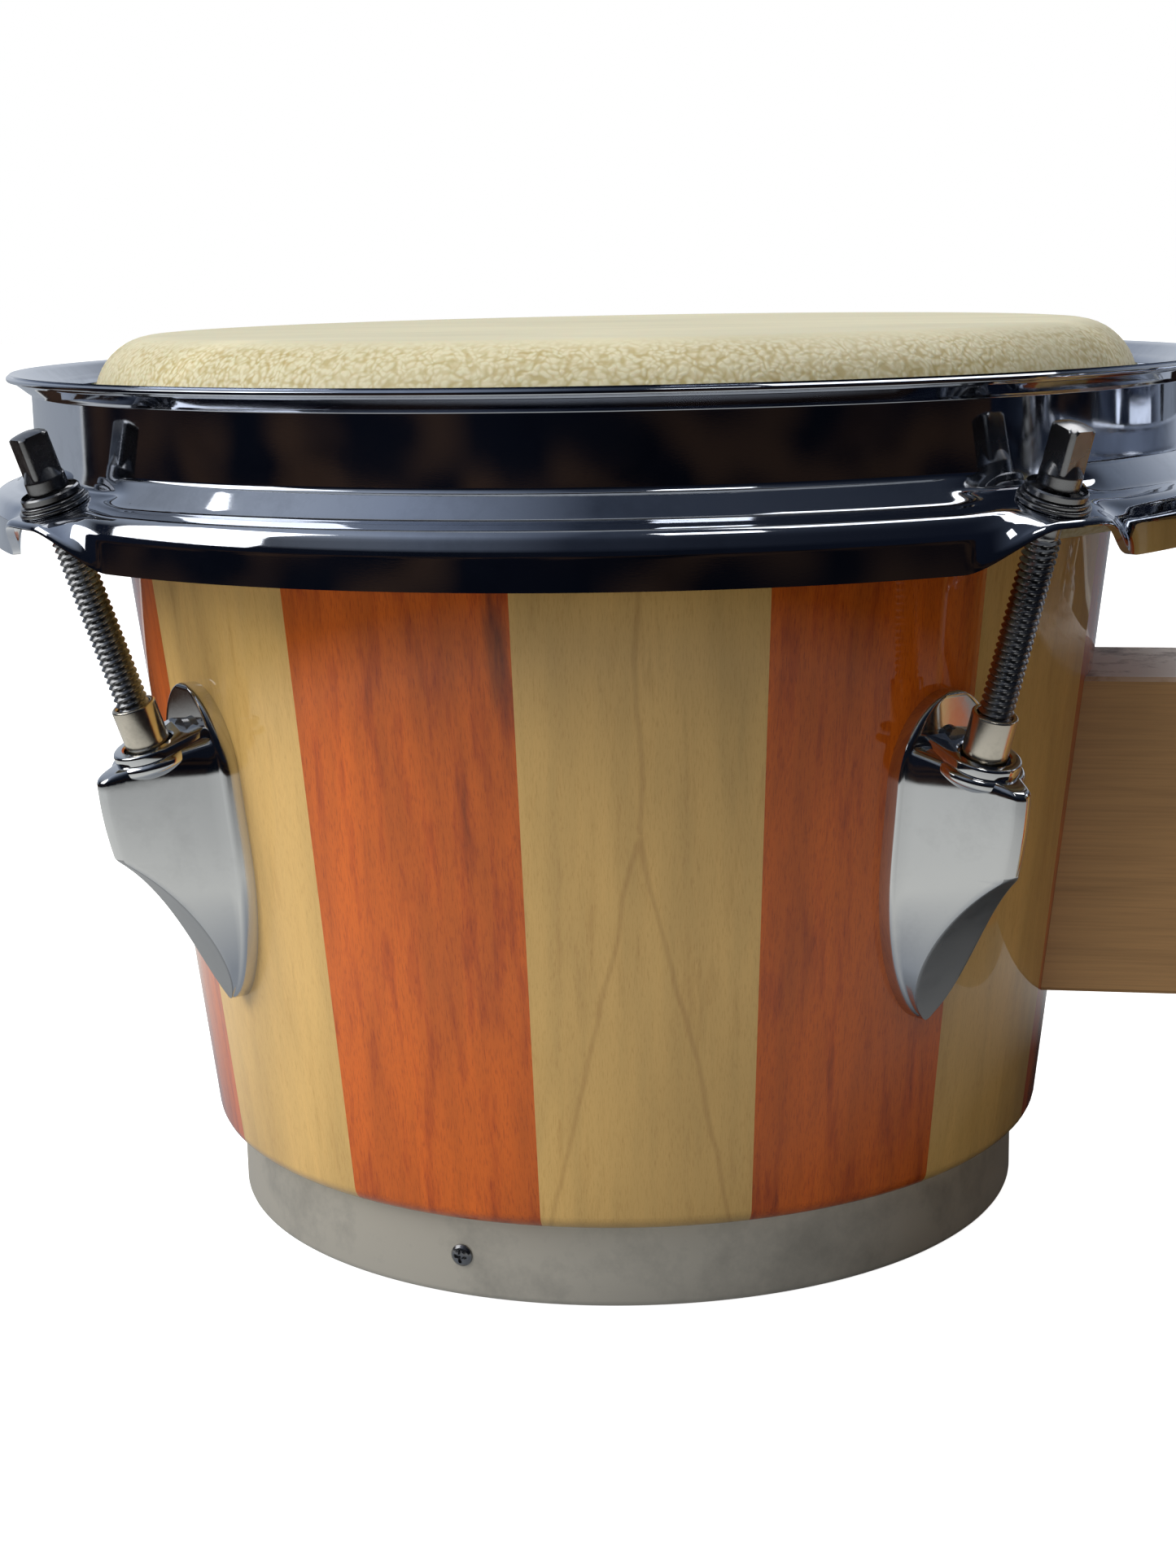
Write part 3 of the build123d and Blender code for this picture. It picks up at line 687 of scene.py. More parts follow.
def drum_skin(drum, skin, material):
    """The hide as one sheet of even thickness, from the middle, over the edge and round the hoop."""
    outer = SKIN_RADIUS - drum.less
    hoop = HOOP_RADIUS - drum.less
    flat = [(r, SKIN_TOP, 0) for r in (0.01, outer * 0.3, outer * 0.6)]
    top = rounded(
        flat + [(outer, SKIN_TOP, 12.0), (outer, COLLAR_BEND, 4.5), (hoop, HOOP_HEIGHT + TUCK, 0)], 12
    )
    wrap = [
        (hoop + TUCK * math.cos(a), HOOP_HEIGHT + TUCK * math.sin(a))
        for a in np.linspace(math.pi / 2, -math.pi, 22)[1:]
    ]
    outside = spread(top + wrap, 3.0)
    inner_flat = [(r, SKIN_TOP - skin, 0) for r in (0.01, outer * 0.3, outer * 0.6)]
    under = rounded(
        inner_flat
        + [
            (outer - skin, SKIN_TOP - skin, 10.6), (outer - skin, COLLAR_BEND - skin, 5.9),
            (hoop, HOOP_HEIGHT + TUCK - skin, 0)
        ],
        12,
    )
    inner_wrap = [
        (hoop + (TUCK - skin) * math.cos(a), HOOP_HEIGHT + (TUCK - skin) * math.sin(a))
        for a in np.linspace(math.pi / 2, -math.pi, 22)[1:]
    ]
    inside = spread(under + inner_wrap, 4.0)
    points, faces = turned(outside + inside[::-1], 320, False)
    return piece(
        f"{drum.name}_skin", (moved(drum.turn(0), points), faces), material, f"{drum.name}_head",
        [f"{drum.name}_skin_head"], 60,
    )


def ear_share(offset):
    """How much of the ear's shape the rim has at this distance in millimetres from a rod."""
    flat, gone = 4.6, 20.0
    t = min(1.0, max(0.0, (abs(offset) - flat) / (gone - flat)))
    return 1 - t * t * (3 - 2 * t)


def rim_path(drum):
    """The outer face of the rim: what is the same all round, then the part between ears and at an ear."""
    wall = RIM_WALL - drum.less
    skirt = RIM_SKIRT - drum.less
    lip = RIM_LIP - drum.less
    top = rounded(
        [
            (lip - 0.35, RIM_LIP_TOP, 0), (lip, RIM_LIP_TOP - 0.35, 0.3),
            (lip - 0.1, RIM_LIP_TOP - 0.95, 0.3), (lip - 1.5, RIM_LIP_TOP - 1.35, 2.0),
            (wall + 0.75, 162.6, 1.4), (wall, 162.1, 0.3), (wall, 150.5, 0),
        ],
        6,
    )
    between = rounded(
        [
            (wall, 150.4, 0), (wall, 150.0, 0.3), (wall + 0.5, 149.5, 0.5), (wall + 3.5, 145.95, 0.9),
            (wall + 4.1, 145.5, 0.3), (wall + 4.9, 145.35, 0.4), (skirt - 1.0, 144.3, 2.2),
            (skirt, 141.2, 2.6), (skirt, SKIRT_BOTTOM, 0),
        ],
        6,
    )
    rod_r = NUT_TOP_RADIUS + EAR_TOP * math.sin(ROD_LEAN) - drum.less
    rod_z = NUT_TOP_HEIGHT + EAR_TOP * math.cos(ROD_LEAN)

    def on_ear(r, drop=0.0):
        return (r, rod_z + (rod_r - r) * math.tan(ROD_LEAN) - drop)

    edge = rod_r + 6.9
    ear = rounded(
        [
            (wall, 150.4, 0), (*on_ear(wall), 0.5), (*on_ear(wall + 2.2), 1.2), (*on_ear(edge - 2.6), 2.0),
            (*on_ear(edge - 0.5), 0.5), (*on_ear(edge - 0.05, 0.6), 0), (*on_ear(edge - 0.1, 1.0), 0),
        ],
        6,
    )
    return top, between, ear


def resample(path, count):
    """The same path with this many points, evenly spaced along it."""
    steps = [0.0]
    for a, b in zip(path, path[1:]):
        steps.append(steps[-1] + math.dist(a, b))
    wanted = np.linspace(0, steps[-1], count)
    rs = np.interp(wanted, steps, [p[0] for p in path])
    zs = np.interp(wanted, steps, [p[1] for p in path])
    return list(zip(rs, zs))


def rim(drum, sheet_thickness, material):
    """The pressed rim: its section changes from shelf and skirt to a sloping ear at every rod."""
    top, between, ear = rim_path(drum)
    lower = 44
    between = resample(between, lower)
    ear = resample(ear, lower)
    skirt = RIM_SKIRT - drum.less

    def section(angle, _path):
        nearest = min(abs((angle - a + math.pi) % TAU - math.pi) for a in LUG_ANGLES)
        share = ear_share(nearest * skirt)
        return top + [
            (p[0] + (q[0] - p[0]) * share, p[1] + (q[1] - p[1]) * share) for p, q in zip(between, ear)
        ]

    points, faces = turned(top + between, 720, False, section)
    obj = piece(
        f"{drum.name}_pressed_rim", (moved(drum.turn(0), points), faces), material, None, (), 60
    )
    sheet = obj.modifiers.new("sheet", "SOLIDIFY")
    sheet.thickness = sheet_thickness
    sheet.offset = -1 if facing_out(obj, drum) else 1
    sheet.use_even_offset = False
    sheet.use_quality_normals = True
    hole = ear_holes(drum)
    cut = obj.modifiers.new("holes", "BOOLEAN")
    cut.object = hole
    cut.operation = "DIFFERENCE"
    cut.solver = "FAST"
    apply_modifiers(obj)
    bpy.data.objects.remove(hole)
    obj.data.shade_smooth()
    obj.data.set_sharp_from_angle(angle=math.radians(50))
    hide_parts(f"{drum.name}_rim")
    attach(obj, f"{drum.name}_head")
    return obj


def facing_out(obj, drum):
    """True if the sheet's faces look away from the drum's axis."""
    face = obj.data.polygons[len(obj.data.polygons) // 3]
    away = face.center - Vector((drum.x * MM, 0, face.center.z))
    return face.normal.dot(away) > 0


def ear_holes(drum):
    """Cutters for the slots that the rods pass through."""
    radius, longer, around = 3.5, 2.0, 32
    ring = []
    for k in range(around):
        a = TAU * k / around
        ring.append((radius * math.cos(a) + (longer if math.cos(a) > 0 else 0.0), radius * math.sin(a)))
    slot = [(x, y, EAR_TOP - 6) for x, y in ring] + [(x, y, EAR_TOP + 6) for x, y in ring]
    sides = [tuple(range(around - 1, -1, -1)), tuple(range(around, 2 * around))]
    sides += [(k, (k + 1) % around, around + (k + 1) % around, around + k) for k in range(around)]
    points, faces = joined(*[(moved(drum.rod(angle), slot), sides) for angle in LUG_ANGLES])
    mesh = bpy.data.meshes.new("ear_hole_cutter")
    mesh.from_pydata([(x * MM, y * MM, z * MM) for x, y, z in points], [], faces)
    obj = bpy.data.objects.new("ear_hole_cutter", mesh)
    bpy.context.scene.collection.objects.link(obj)
    return obj


def tension_rod_shape(pitch, depth):
    """The rod along Z: plain tail, rolled thread, smooth neck, flange, coned collar and square key."""
    seat = EAR_TOP + 2 * WASHER + 0.1
    neck, flange, bevel, flange_thick = 2.45, 5.25, 0.25, 1.4
    around = 40
    rows = [(-20.0, 2.2), (-19.4, ROD_RADIUS - depth)]
    rows += [(THREAD_FROM, ROD_RADIUS - depth)]
    per_turn = 9
    count = int((THREAD_TO - THREAD_FROM) / pitch * per_turn)
    rows += [(THREAD_FROM + pitch * (k + 1) / per_turn, None) for k in range(count)]
    rows += [(THREAD_TO + 0.5, neck), (seat, neck), (seat, flange - bevel), (seat + bevel, flange)]
    rows += [(seat + 1.1, flange), (seat + flange_thick, flange - bevel)]
    points = []
    for z, radius in rows:
        for j in range(around):
            a = TAU * j / around
            r = radius
            if r is None:
                turn = (z / pitch - a / TAU) % 1.0
                ease = min(1.0, (THREAD_TO - z) / pitch, (z - THREAD_FROM) / pitch)
                r = ROD_RADIUS - depth * (1 - max(0.0, ease) * (1 - abs(2 * turn - 1)) ** 0.8)
            points.append((r * math.cos(a), r * math.sin(a), z))
    faces = net(len(rows), around, False, True)
    faces.append(tuple(range(around - 1, -1, -1)))
    body = (points, faces)
    # The key: a square whose flats run down into a cone
    base = seat + flange_thick
    around = 96
    half, corner = 2.75, 3.5
    heights = list(np.linspace(0, 4.4, 30)) + [6.0, 8.0, 9.4, 9.9, 10.2, 10.45, 10.62, 10.72]
    points = []
    for h in heights:
        cone = 4.6 - 0.42 * h
        dome = 3.6 if h < 9.9 else 3.6 - 2.6 * ((h - 9.9) / 0.82) ** 1.6
        for j in range(around):
            a = TAU * j / around
            flat = min(half / max(abs(math.cos(a)), abs(math.sin(a))), corner)
            r = min(max(flat, cone), dome)
            points.append((r * math.cos(a), r * math.sin(a), base + h))
    faces = net(len(heights), around, False, True)
    last = (len(heights) - 1) * around
    faces.append(tuple(range(last, last + around)))
    faces.append(tuple(range(around - 1, -1, -1)))
    return joined(body, (points, faces))


def washer_shape(low, radius, thick):
    """A thin stamped washer along the rod, with its outer edge softened."""
    high = low + thick
    path = rounded(
        [(3.1, low, 0), (radius, low, 0.2), (radius, high, 0.25), (3.1, high, 0.1), (3.1, low, 0)], 3
    )[:-1]
    return turned(path, 72)


def nut_shape():
    """The tube nut along the rod, its top at zero and its lower end inside the lug."""
    path = rounded(
        [
            (3.05, -18, 0), (4.0, -18, 0.2), (4.0, 0, 0.35), (3.25, 0, 0.15), (3.05, -0.4, 0.1),
            (3.05, -18, 0),
        ],
        3,
    )[:-1]
    return turned(path, 72)


def lug_levels():
    """Heights of the lug's slices, closer together where its outline or its top changes fast."""
    tip = [LUG_TIP + (58 - LUG_TIP) * (k / 12) ** 1.8 for k in range(12)]
    crown = [108.5 + (LUG_TOP - 108.5) * math.sin(math.pi / 2 * k / 12) for k in range(13)]
    waist = list(np.linspace(58, 80.2, 30)) + list(np.linspace(80.5, 82.2, 8))
    shoulder = list(np.linspace(83, 94, 12)) + list(np.linspace(94.5, 108.3, 56))
    return tip + waist + shoulder + crown


def lug_half_width(z):
    """Half the width of the lug's foot: round at the top, drawn in to a narrow nose at the bottom."""
    round_from, narrow_from = 96, 84
    if z > round_from:
        t = min(1.0, (z - round_from) / (LUG_TOP - round_from))
        return LUG_HALF_WIDTH * math.sqrt(max(0.0, 1 - t * t)) + 0.02
    t = min(1.0, max(0.0, (narrow_from - z) / (narrow_from - LUG_TIP)))
    return LUG_HALF_WIDTH * (1 - t**2.3) ** 0.62 + 0.02


def soft_least(a, b, reach):
    """The smaller of two, with the corner between them rounded."""
    return min(a, b) - max(reach - abs(a - b), 0.0) ** 2 / (4 * reach)


def terrace(drum, z, below):
    """How far out the lug's sloping top reaches at this height. It is square to the rod."""
    r = NUT_TOP_RADIUS - below * math.sin(ROD_LEAN) - drum.less
    return r + (NUT_TOP_HEIGHT - below * math.cos(ROD_LEAN) - z) / math.tan(ROD_LEAN)


def scoop_reach(drum, z, flange):
    """How far out the hollow underside lets the lug reach at this height."""
    tip = drum.outside(LUG_TIP) + flange
    top = LUG_NOSE - 2.6 - drum.less
    line = []
    for t in np.linspace(0, 1, 40):
        hollow = 0.42
        r = t * (1 - hollow) + hollow * math.sin(math.pi / 2 * t)
        down = t * (1 - hollow) + hollow * (1 - math.cos(math.pi / 2 * t))
        line.append((SCOOP_TOP + (LUG_TIP - SCOOP_TOP) * down, top + (tip - top) * r))
    line.sort()
    return float(np.interp(z, [p[0] for p in line], [p[1] for p in line]))


def lug_slice(drum, z, flange):
    """A level slice of the lug as (r, y) points, from its near edge round the front to its far edge."""
    b = lug_half_width(z)
    k = b / LUG_HALF_WIDTH
    foot = drum.outside(z)
    plate = foot + flange
    # The nose draws in more and more down to the scoop, then goes on at that slope.
    down, bent = max(0.0, NOSE_BENDS_AT - z), NOSE_BENDS_AT - SCOOP_TOP
    drawn_in = NOSE_BEND * (down**2 if down < bent else bent * (2 * down - bent))
    nose = LUG_NOSE - drawn_in - drum.less
    corner_y = 1.8 * k
    inset = min(0.7, b * 0.3)
    slope = (nose - 0.5 - plate) / max(0.05, b - inset - corner_y)
    limit = scoop_reach(drum, z, flange) if z <= SCOOP_TOP else terrace(drum, z, BOSS_BELOW + SEAT_HEIGHT)
    limit_round = 0.8 if z <= SCOOP_TOP else 4.2
    turn_y = min(b - inset - 0.02, max(corner_y, b - inset - (limit - plate) / slope))

    def reach(y):
        y = abs(y)
        side = plate + (b - inset - y) * slope
        front = nose - LUG_NOSE_ROUND * k + math.sqrt(max(0.0, (LUG_NOSE_ROUND * k) ** 2 - y * y))
        body = soft_least(side, front if y < LUG_NOSE_ROUND * k else side + 9, 0.25)
        body = soft_least(body, limit, limit_round)
        edge = min(b - y, (LUG_TOP - z) * 1.2, (z - LUG_TIP) * 1.2 + 0.2, LUG_EDGE)
        crown = plate - LUG_EDGE * (1 - math.sqrt(max(0.0, 1 - (1 - edge / LUG_EDGE) ** 2)))
        return max(body, crown)

    small = min(1.0, b / 3)
    ys = [b, b - 0.08 * small, b - 0.25 * small, b - 0.5 * small, b - inset]
    ys += [b - inset + (turn_y - b + inset) * f for f in (0.12, 0.25, 0.4, 0.55, 0.7, 0.82, 0.9, 0.96)]
    ys += [turn_y, turn_y * 0.96, turn_y * 0.88]
    ys += [turn_y * f for f in (0.75, 0.6, 0.45, 0.3, 0.15)]
    half = [(foot - 1.0, b), (plate - LUG_EDGE - 0.05, b)] + [(reach(y), y) for y in ys[1:]]
    return half + [(reach(0.0), 0.0)] + [(r, -y) for r, y in reversed(half)]


def lug_casting(drum, flange):
    """The lug over +X as a mesh in millimetres: body, the bulb round the nut, and the raised seat on it."""
    levels = lug_levels()
    slices = [lug_slice(drum, z, flange) for z in levels]
    columns = len(slices[0])
    points = [(r, y, z) for z, row in zip(levels, slices) for r, y in row]
    faces = net(len(levels), columns, False, True)
    faces.append(tuple(range(columns)))
    faces.append(tuple(range((len(levels) - 1) * columns, len(levels) * columns)))
    # A face belongs to the scoop if it lies between the two crisp edges, below the scoop's top.
    edge_column = 14  # the last column of the side face
    on_scoop = []
    for i in range(len(levels) - 1):
        for j in range(columns):
            inside = edge_column <= j < columns - 1 - edge_column
            on_scoop.append(1 if inside and levels[i + 1] <= SCOOP_TOP + 0.3 else 0)
    on_scoop += [0, 0]

    nut_top = Matrix.Translation((NUT_TOP_RADIUS - drum.less, 0, NUT_TOP_HEIGHT))
    tilt = nut_top @ Matrix.Rotation(ROD_LEAN, 4, "Y")
    level = -BOSS_BELOW - SEAT_HEIGHT
    bulb_path = rounded(
        [
            (0.01, level - 0.1, 0), (6.7, level - 0.1, 0), (7.65, level - 0.1, 0.95),
            (7.75, level - 1.7, 0.9), (6.3, level - 3.1, 1.0), (3.0, level - 3.6, 1.0),
            (0.01, level - 3.7, 0),
        ]
    )
    bulb = turned(bulb_path, 112, False)
    seat = raised_seat()
    return [
        (points, faces, on_scoop),
        (moved(tilt, bulb[0]), bulb[1], [0] * len(bulb[1])),
        (moved(tilt, seat[0]), seat[1], [0] * len(seat[1])),
    ]


def raised_seat():
    """The seat for the nut, along the rod: round in front, square at the back, with a hole in it."""
    top = -BOSS_BELOW
    rows = [
        (0.0, top - 2.0, None), (0.0, top - 0.55, None), (0.08, top - 0.28, None), (0.26, top - 0.08, None),
        (0.55, top, None), (0.0, top, 4.9), (0.0, top - 0.25, 4.6), (0.0, top - 1.2, 4.45),
        (0.0, top - 2.0, 4.45),
    ]
    around = 120
    points = []
    for inset, s, hole in rows:
        for j in range(around):
            a = TAU * j / around
            if hole:
                reach = hole
            elif math.cos(a) > 0:
                reach = 6.6 - inset
            else:
                reach = min((6.6 - inset) / max(abs(math.sin(a)), 1e-6), 9.2 / max(abs(math.cos(a)), 1e-6))
            points.append((reach * math.cos(a), reach * math.sin(a), s))
    return points, net(len(rows), around, True, True)


def closed_mesh(name, parts, placing, materials):
    """One mesh, in metres, out of closed parts given as (points, faces, material of each face)."""
    points, faces, paint = [], [], []
    for more, sides, colours in parts:
        start = len(points)
        points += [tuple(c * MM for c in placing @ Vector(p)) for p in more]
        faces += [tuple(start + n for n in side) for side in sides]
        paint += colours
    mesh = bpy.data.meshes.new(name)
    mesh.from_pydata(points, [], faces)
    for material in materials:
        mesh.materials.append(material)
    mesh.polygons.foreach_set("material_index", paint)
    work = bmesh.new()
    work.from_mesh(mesh)
    bmesh.ops.recalc_face_normals(work, faces=work.faces)
    work.to_mesh(mesh)
    work.free()
    mesh.shade_smooth()
    mesh.set_sharp_from_angle(angle=math.radians(34))
    return mesh


def lugs_and_rods(drum, sizes):
    """All that stands at the four corners of a drum."""
    casting = lug_casting(drum, sizes.lug_flange / MM)
    rod = tension_rod_shape(sizes.thread_pitch / MM, sizes.thread_depth / MM)
    rings = joined(
        washer_shape(EAR_TOP + 0.05, 6.2, WASHER), washer_shape(EAR_TOP + 0.05 + WASHER, 5.7, WASHER)
    )
    nut = nut_shape()
    for number, angle in enumerate(LUG_ANGLES, start=1):
        name = f"{drum.name}_lug_casting_{number}"
        mesh = closed_mesh(name, casting, drum.turn(angle), (finish_of("lug"), finish_of("scoop")))
        lug = bpy.data.objects.new(name, mesh)
        bpy.context.scene.collection.objects.link(lug)
        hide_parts(f"{drum.name}_lug_{number}")
        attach(lug, "shells")
        place = drum.rod(angle)
        piece(
            f"{drum.name}_threaded_rod_{number}", (moved(place, rod[0]), rod[1]), finish_of("steel"),
            f"{drum.name}_tension_rod_{number}", [f"{drum.name}_tension_rod_{number}"], 35,
        )
        piece(
            f"{drum.name}_thin_washers_{number}", (moved(place, rings[0]), rings[1]), finish_of("steel"),
            f"{drum.name}_rod_washers_{number}", [f"{drum.name}_rod_washers_{number}"], 35,
        )
        piece(
            f"{drum.name}_tube_nut_{number}", (moved(place, nut[0]), nut[1]), finish_of("nickel"),
            "shells", [f"{drum.name}_swivel_nut_{number}"], 35,
        )


def repaint(node, material):
    """Gives a CAD node a better material."""
    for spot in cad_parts[node].material_slots:
        spot.material = material


# --------------------------------------------------------------------- stage


def area_light(name, place, target, size, power, mirrored=True):
    """A square soft light. One that is not mirrored adds light without a shape in the chrome."""
    light = bpy.data.lights.new(name, "AREA")
    light.size = size
    light.energy = power
    obj = bpy.data.objects.new(name, light)
    obj.location = place
    obj.rotation_euler = (Vector(target) - Vector(place)).to_track_quat("-Z", "Y").to_euler()
    obj.visible_glossy = mirrored
    bpy.context.scene.collection.objects.link(obj)


def studio_world():
    """White to the eye; to the shiny parts a dark room, grey overhead and pale behind; and to the dull
    parts soft light, stronger from above and from the left."""
    world = bpy.data.worlds.new("studio")
    world.use_nodes = True
    tree = world.node_tree
    tree.nodes.clear()
    output = add(tree, "OutputWorld")
    place = add(tree, "TexCoord").outputs["Generated"]
    part = add(tree, "SeparateXYZ", {"Vector": place})
    back = add(tree, "MapRange", {"Value": part.outputs["Y"], "From Min": -1.0, "From Max": 1.0})
    room = add(
        tree, "ValToRGB", {"Fac": back},
        stops=((0.0, "#0E121B"), (0.62, "#141926"), (0.8, "#8E98A8"), (0.95, "#C9CFD8"))
    )
    ceiling = add(tree, "ValToRGB", {"Fac": part.outputs["Z"]}, stops=((0.3, "#000000"), (0.8, "#FFFFFF")))
    across = add(tree, "MapRange", {"Value": part.outputs["X"], "From Min": -1.0, "From Max": 1.0})
    overhead = add(
        tree, "ValToRGB", {"Fac": across},
        stops=((0.05, "#C3CBD6"), (0.3, "#8F99AB"), (0.5, "#3A414E"), (1.0, "#1A1E26"))
    )
    shiny = add(tree, "Mix", {0: ceiling, 6: room, 7: overhead}, **RGB)
    window = add(tree, "VectorMath", {0: place, 1: (-0.9, -0.35, 0.0)}, operation="DOT_PRODUCT")
    side = add(
        tree, "MapRange",
        {
            "Value": window.outputs["Value"], "From Min": -0.6, "From Max": 1.0, "To Min": 0.025,
            "To Max": 0.5
        }
    )
    up = add(
        tree, "MapRange",
        {"Value": part.outputs["Z"], "From Min": 0.1, "From Max": 1.0, "To Min": 0.0, "To Max": 0.55}
    )
    dull = add(tree, "Math", {0: side, 1: up}, operation="ADD")
    ray = add(tree, "LightPath")
    inner = add(tree, "Mix", {0: ray.outputs["Is Glossy Ray"], 6: dull, 7: shiny.outputs[2]}, **RGB)
    seen = add(
        tree, "Mix", {0: ray.outputs["Is Camera Ray"], 6: inner.outputs[2], 7: linear("#FFFFFF")}, **RGB
    )
    light = add(tree, "Background", {"Color": seen.outputs[2], "Strength": 1.0})
    tree.links.new(light.outputs[0], output.inputs["Surface"])
    bpy.context.scene.world = world


def flat_card(name, half, height, material):
    """A level square that belongs to the stage."""
    mesh = bpy.data.meshes.new(name)
    corners = [(-half, -half, height), (half, -half, height), (half, half, height), (-half, half, height)]
    mesh.from_pydata(corners, [], [(0, 1, 2, 3)])
    mesh.materials.append(material)
    obj = bpy.data.objects.new(name, mesh)
    bpy.context.scene.collection.objects.link(obj)
    return obj


def pale_paper():
    """The floor the eye sees: a lit paper sweep, nearly white."""
    material, tree, shader = new_material("pale_paper", Roughness=0.9, Emission_Strength=0.95)
    noise = add(tree, "TexNoise", {"Scale": 6.0, "Detail": 2.0})
    tone = add(tree, "ValToRGB", {"Fac": noise.outputs["Fac"]}, stops=((0.3, "#F3F3F2"), (0.7, "#F6F6F5")))
    tree.links.new(tone.outputs[0], shader.inputs["Base Color"])
    tree.links.new(tone.outputs[0], shader.inputs["Emission Color"])
    return material


def mirrored_floor():
    """The floor that only the shiny parts see, a glowing card of painted reflections: painted light round
    the drums, greyer right under them, a painted shadow to their right, dark further off in front, and pale
    again far behind."""
    material, tree, shader = new_material("painted_floor_reflection", Roughness=1.0, Specular_IOR_Level=0.0)
    shader.inputs["Base Color"].default_value = (0, 0, 0, 1)
    place = add(tree, "TexCoord").outputs["Object"]
    from_drum = add(tree, "VectorMath", {0: place, 1: (LARGE.x * MM, 0.0, 0.0)}, operation="DISTANCE")
    part = add(tree, "SeparateXYZ", {"Vector": place})
    behind = add(
        tree, "MapRange",
        {"Value": part.outputs["Y"], "From Min": 0.5, "From Max": 1.15, "To Min": 0.0, "To Max": 6.0}
    )
    far = add(tree, "Math", {0: from_drum.outputs["Value"], 1: behind}, operation="SUBTRACT")
    patches = add(tree, "TexNoise", {"Vector": place, "Scale": 1.9, "Detail": 1.0})
    # Painted reflection of a dark room, with a few brownish patches.
    room = add(
        tree, "ValToRGB", {"Fac": patches.outputs["Fac"]}, stops=((0.45, "#0A0D15"), (0.62, "#33261F"))
    )
    # Painted light on the floor round the drums, greyer right under them.
    near = add(
        tree, "ValToRGB", {"Fac": far}, stops=((0.1, "#9AA0A8"), (0.2, "#DCDDDA"), (0.36, "#C4C6C5"))
    )
    edge = add(tree, "MapRange", {"Value": far, "From Min": 0.4, "From Max": 0.46})
    tone = add(tree, "Mix", {0: edge, 6: near, 7: room}, **RGB)
    # Painted shadow of the drums on the floor to their right, and the whole floor darker towards the right.
    shade_spot = (LARGE.x * MM + 0.06, 0.02, 0.0)
    to_shade = add(tree, "VectorMath", {0: place, 1: shade_spot}, operation="DISTANCE")
    lit = add(
        tree, "MapRange",
        {"Value": to_shade.outputs["Value"], "From Min": 0.07, "From Max": 0.13, "To Min": 0.04}
    )
    side = add(
        tree, "MapRange",
        {"Value": part.outputs["X"], "From Min": -0.45, "From Max": 0.25, "To Min": 1.1, "To Max": 0.6}
    )
    power = add(tree, "Math", {0: lit, 1: side}, operation="MULTIPLY")
    tree.links.new(tone.outputs[2], shader.inputs["Emission Color"])
    tree.links.new(power.outputs[0], shader.inputs["Emission Strength"])
    return material


def floor_and_lights(settings):
    """Two floors, one for the eye and one for the chrome, and a window to the left as the main light."""
    floor = flat_card("pale_floor", 6.0, 0.0, pale_paper())
    floor.visible_glossy = False
    floor.visible_diffuse = False
    card = flat_card("mirrored_floor", 6.0, -0.0005, mirrored_floor())
    card.visible_camera = False
    card.visible_diffuse = False
    card.visible_shadow = False
    card.visible_transmission = False
    power = settings.key_power
    area_light("left_window", (-1.31, -0.39, 0.86), (-0.13, 0, 0.1), 0.85, power * 0.45)
    area_light("left_front", (-1.02, -0.62, 0.86), (-0.13, 0, 0.1), 0.75, power * 0.7, False)
    area_light("top_back", (0.3, 0.42, 1.3), (-0.05, 0, 0.17), 0.9, power * 0.52)
    area_light("front_top", (0.3, -0.7, 1.3), (0.0, 0, 0.1), 0.35, power * 0.1)
    area_light("low_front", (-0.75, -1.1, 0.1), (-0.12, 0, 0.12), 0.5, power * 0.16, False)
    studio_world()


def camera(settings):
    """Close to the large drum, a little above its rim, and turned slightly towards the bridge."""
    turn = settings.camera_turn
    lens = bpy.data.cameras.new("camera")
    lens.lens = LENS
    lens.sensor_width = SENSOR
    lens.clip_start = 0.01
    obj = bpy.data.objects.new("camera", lens)
    away = CAMERA_AWAY * MM
    spot = (LARGE.x * MM + away * math.sin(turn), -away * math.cos(turn), CAMERA_HEIGHT * MM)
    aim = Matrix.Rotation(turn + CAMERA_ASIDE, 4, "Z") @ Matrix.Rotation(math.pi / 2 - CAMERA_DOWN, 4, "X")
    obj.matrix_world = Matrix.Translation(spot) @ aim @ Matrix.Rotation(CAMERA_ROLL, 4, "Z")
    bpy.context.scene.collection.objects.link(obj)
    bpy.context.scene.camera = obj


# ----------------------------------------------------- settings and operators


def length(name, description, default, low, high):
    """A length that the user may change, given in millimetres."""
    return FloatProperty(
        name=name, description=description, default=default * MM, min=low * MM, max=high * MM,
        unit="LENGTH", precision=5,
    )


def colour(name, description, default):
    """A colour that the user may change, given as hex."""
    return FloatVectorProperty(
        name=name, description=description, default=linear(default), size=4, min=0.0, max=1.0,
        subtype="COLOR",
    )


class BongoSizes(bpy.types.PropertyGroup):
    """Sizes that may be changed without moving the pieces off their frame."""

    skin: length("Skin", "Thickness of the hide", 1.4, 0.6, 2.4)
    rim_sheet: length("Rim sheet", "Thickness of the steel that the rims are pressed from", 1.4, 0.8, 2.0)
    lug_flange: length(
        "Lug flange", "Thickness of the lug's edge where it lies on the shell", 3.0, 1.5, 4.0
    )
    thread_pitch: length(
        "Thread pitch", "Distance from one turn of the rods' thread to the next", 1.2, 0.8, 2.0
    )
    thread_depth: length("Thread depth", "Depth of the rods' thread", 0.6, 0.2, 0.8)
    ring_screws: IntProperty(
        name="Foot screws", description="Screws in each foot ring", default=3, min=1, max=12
    )


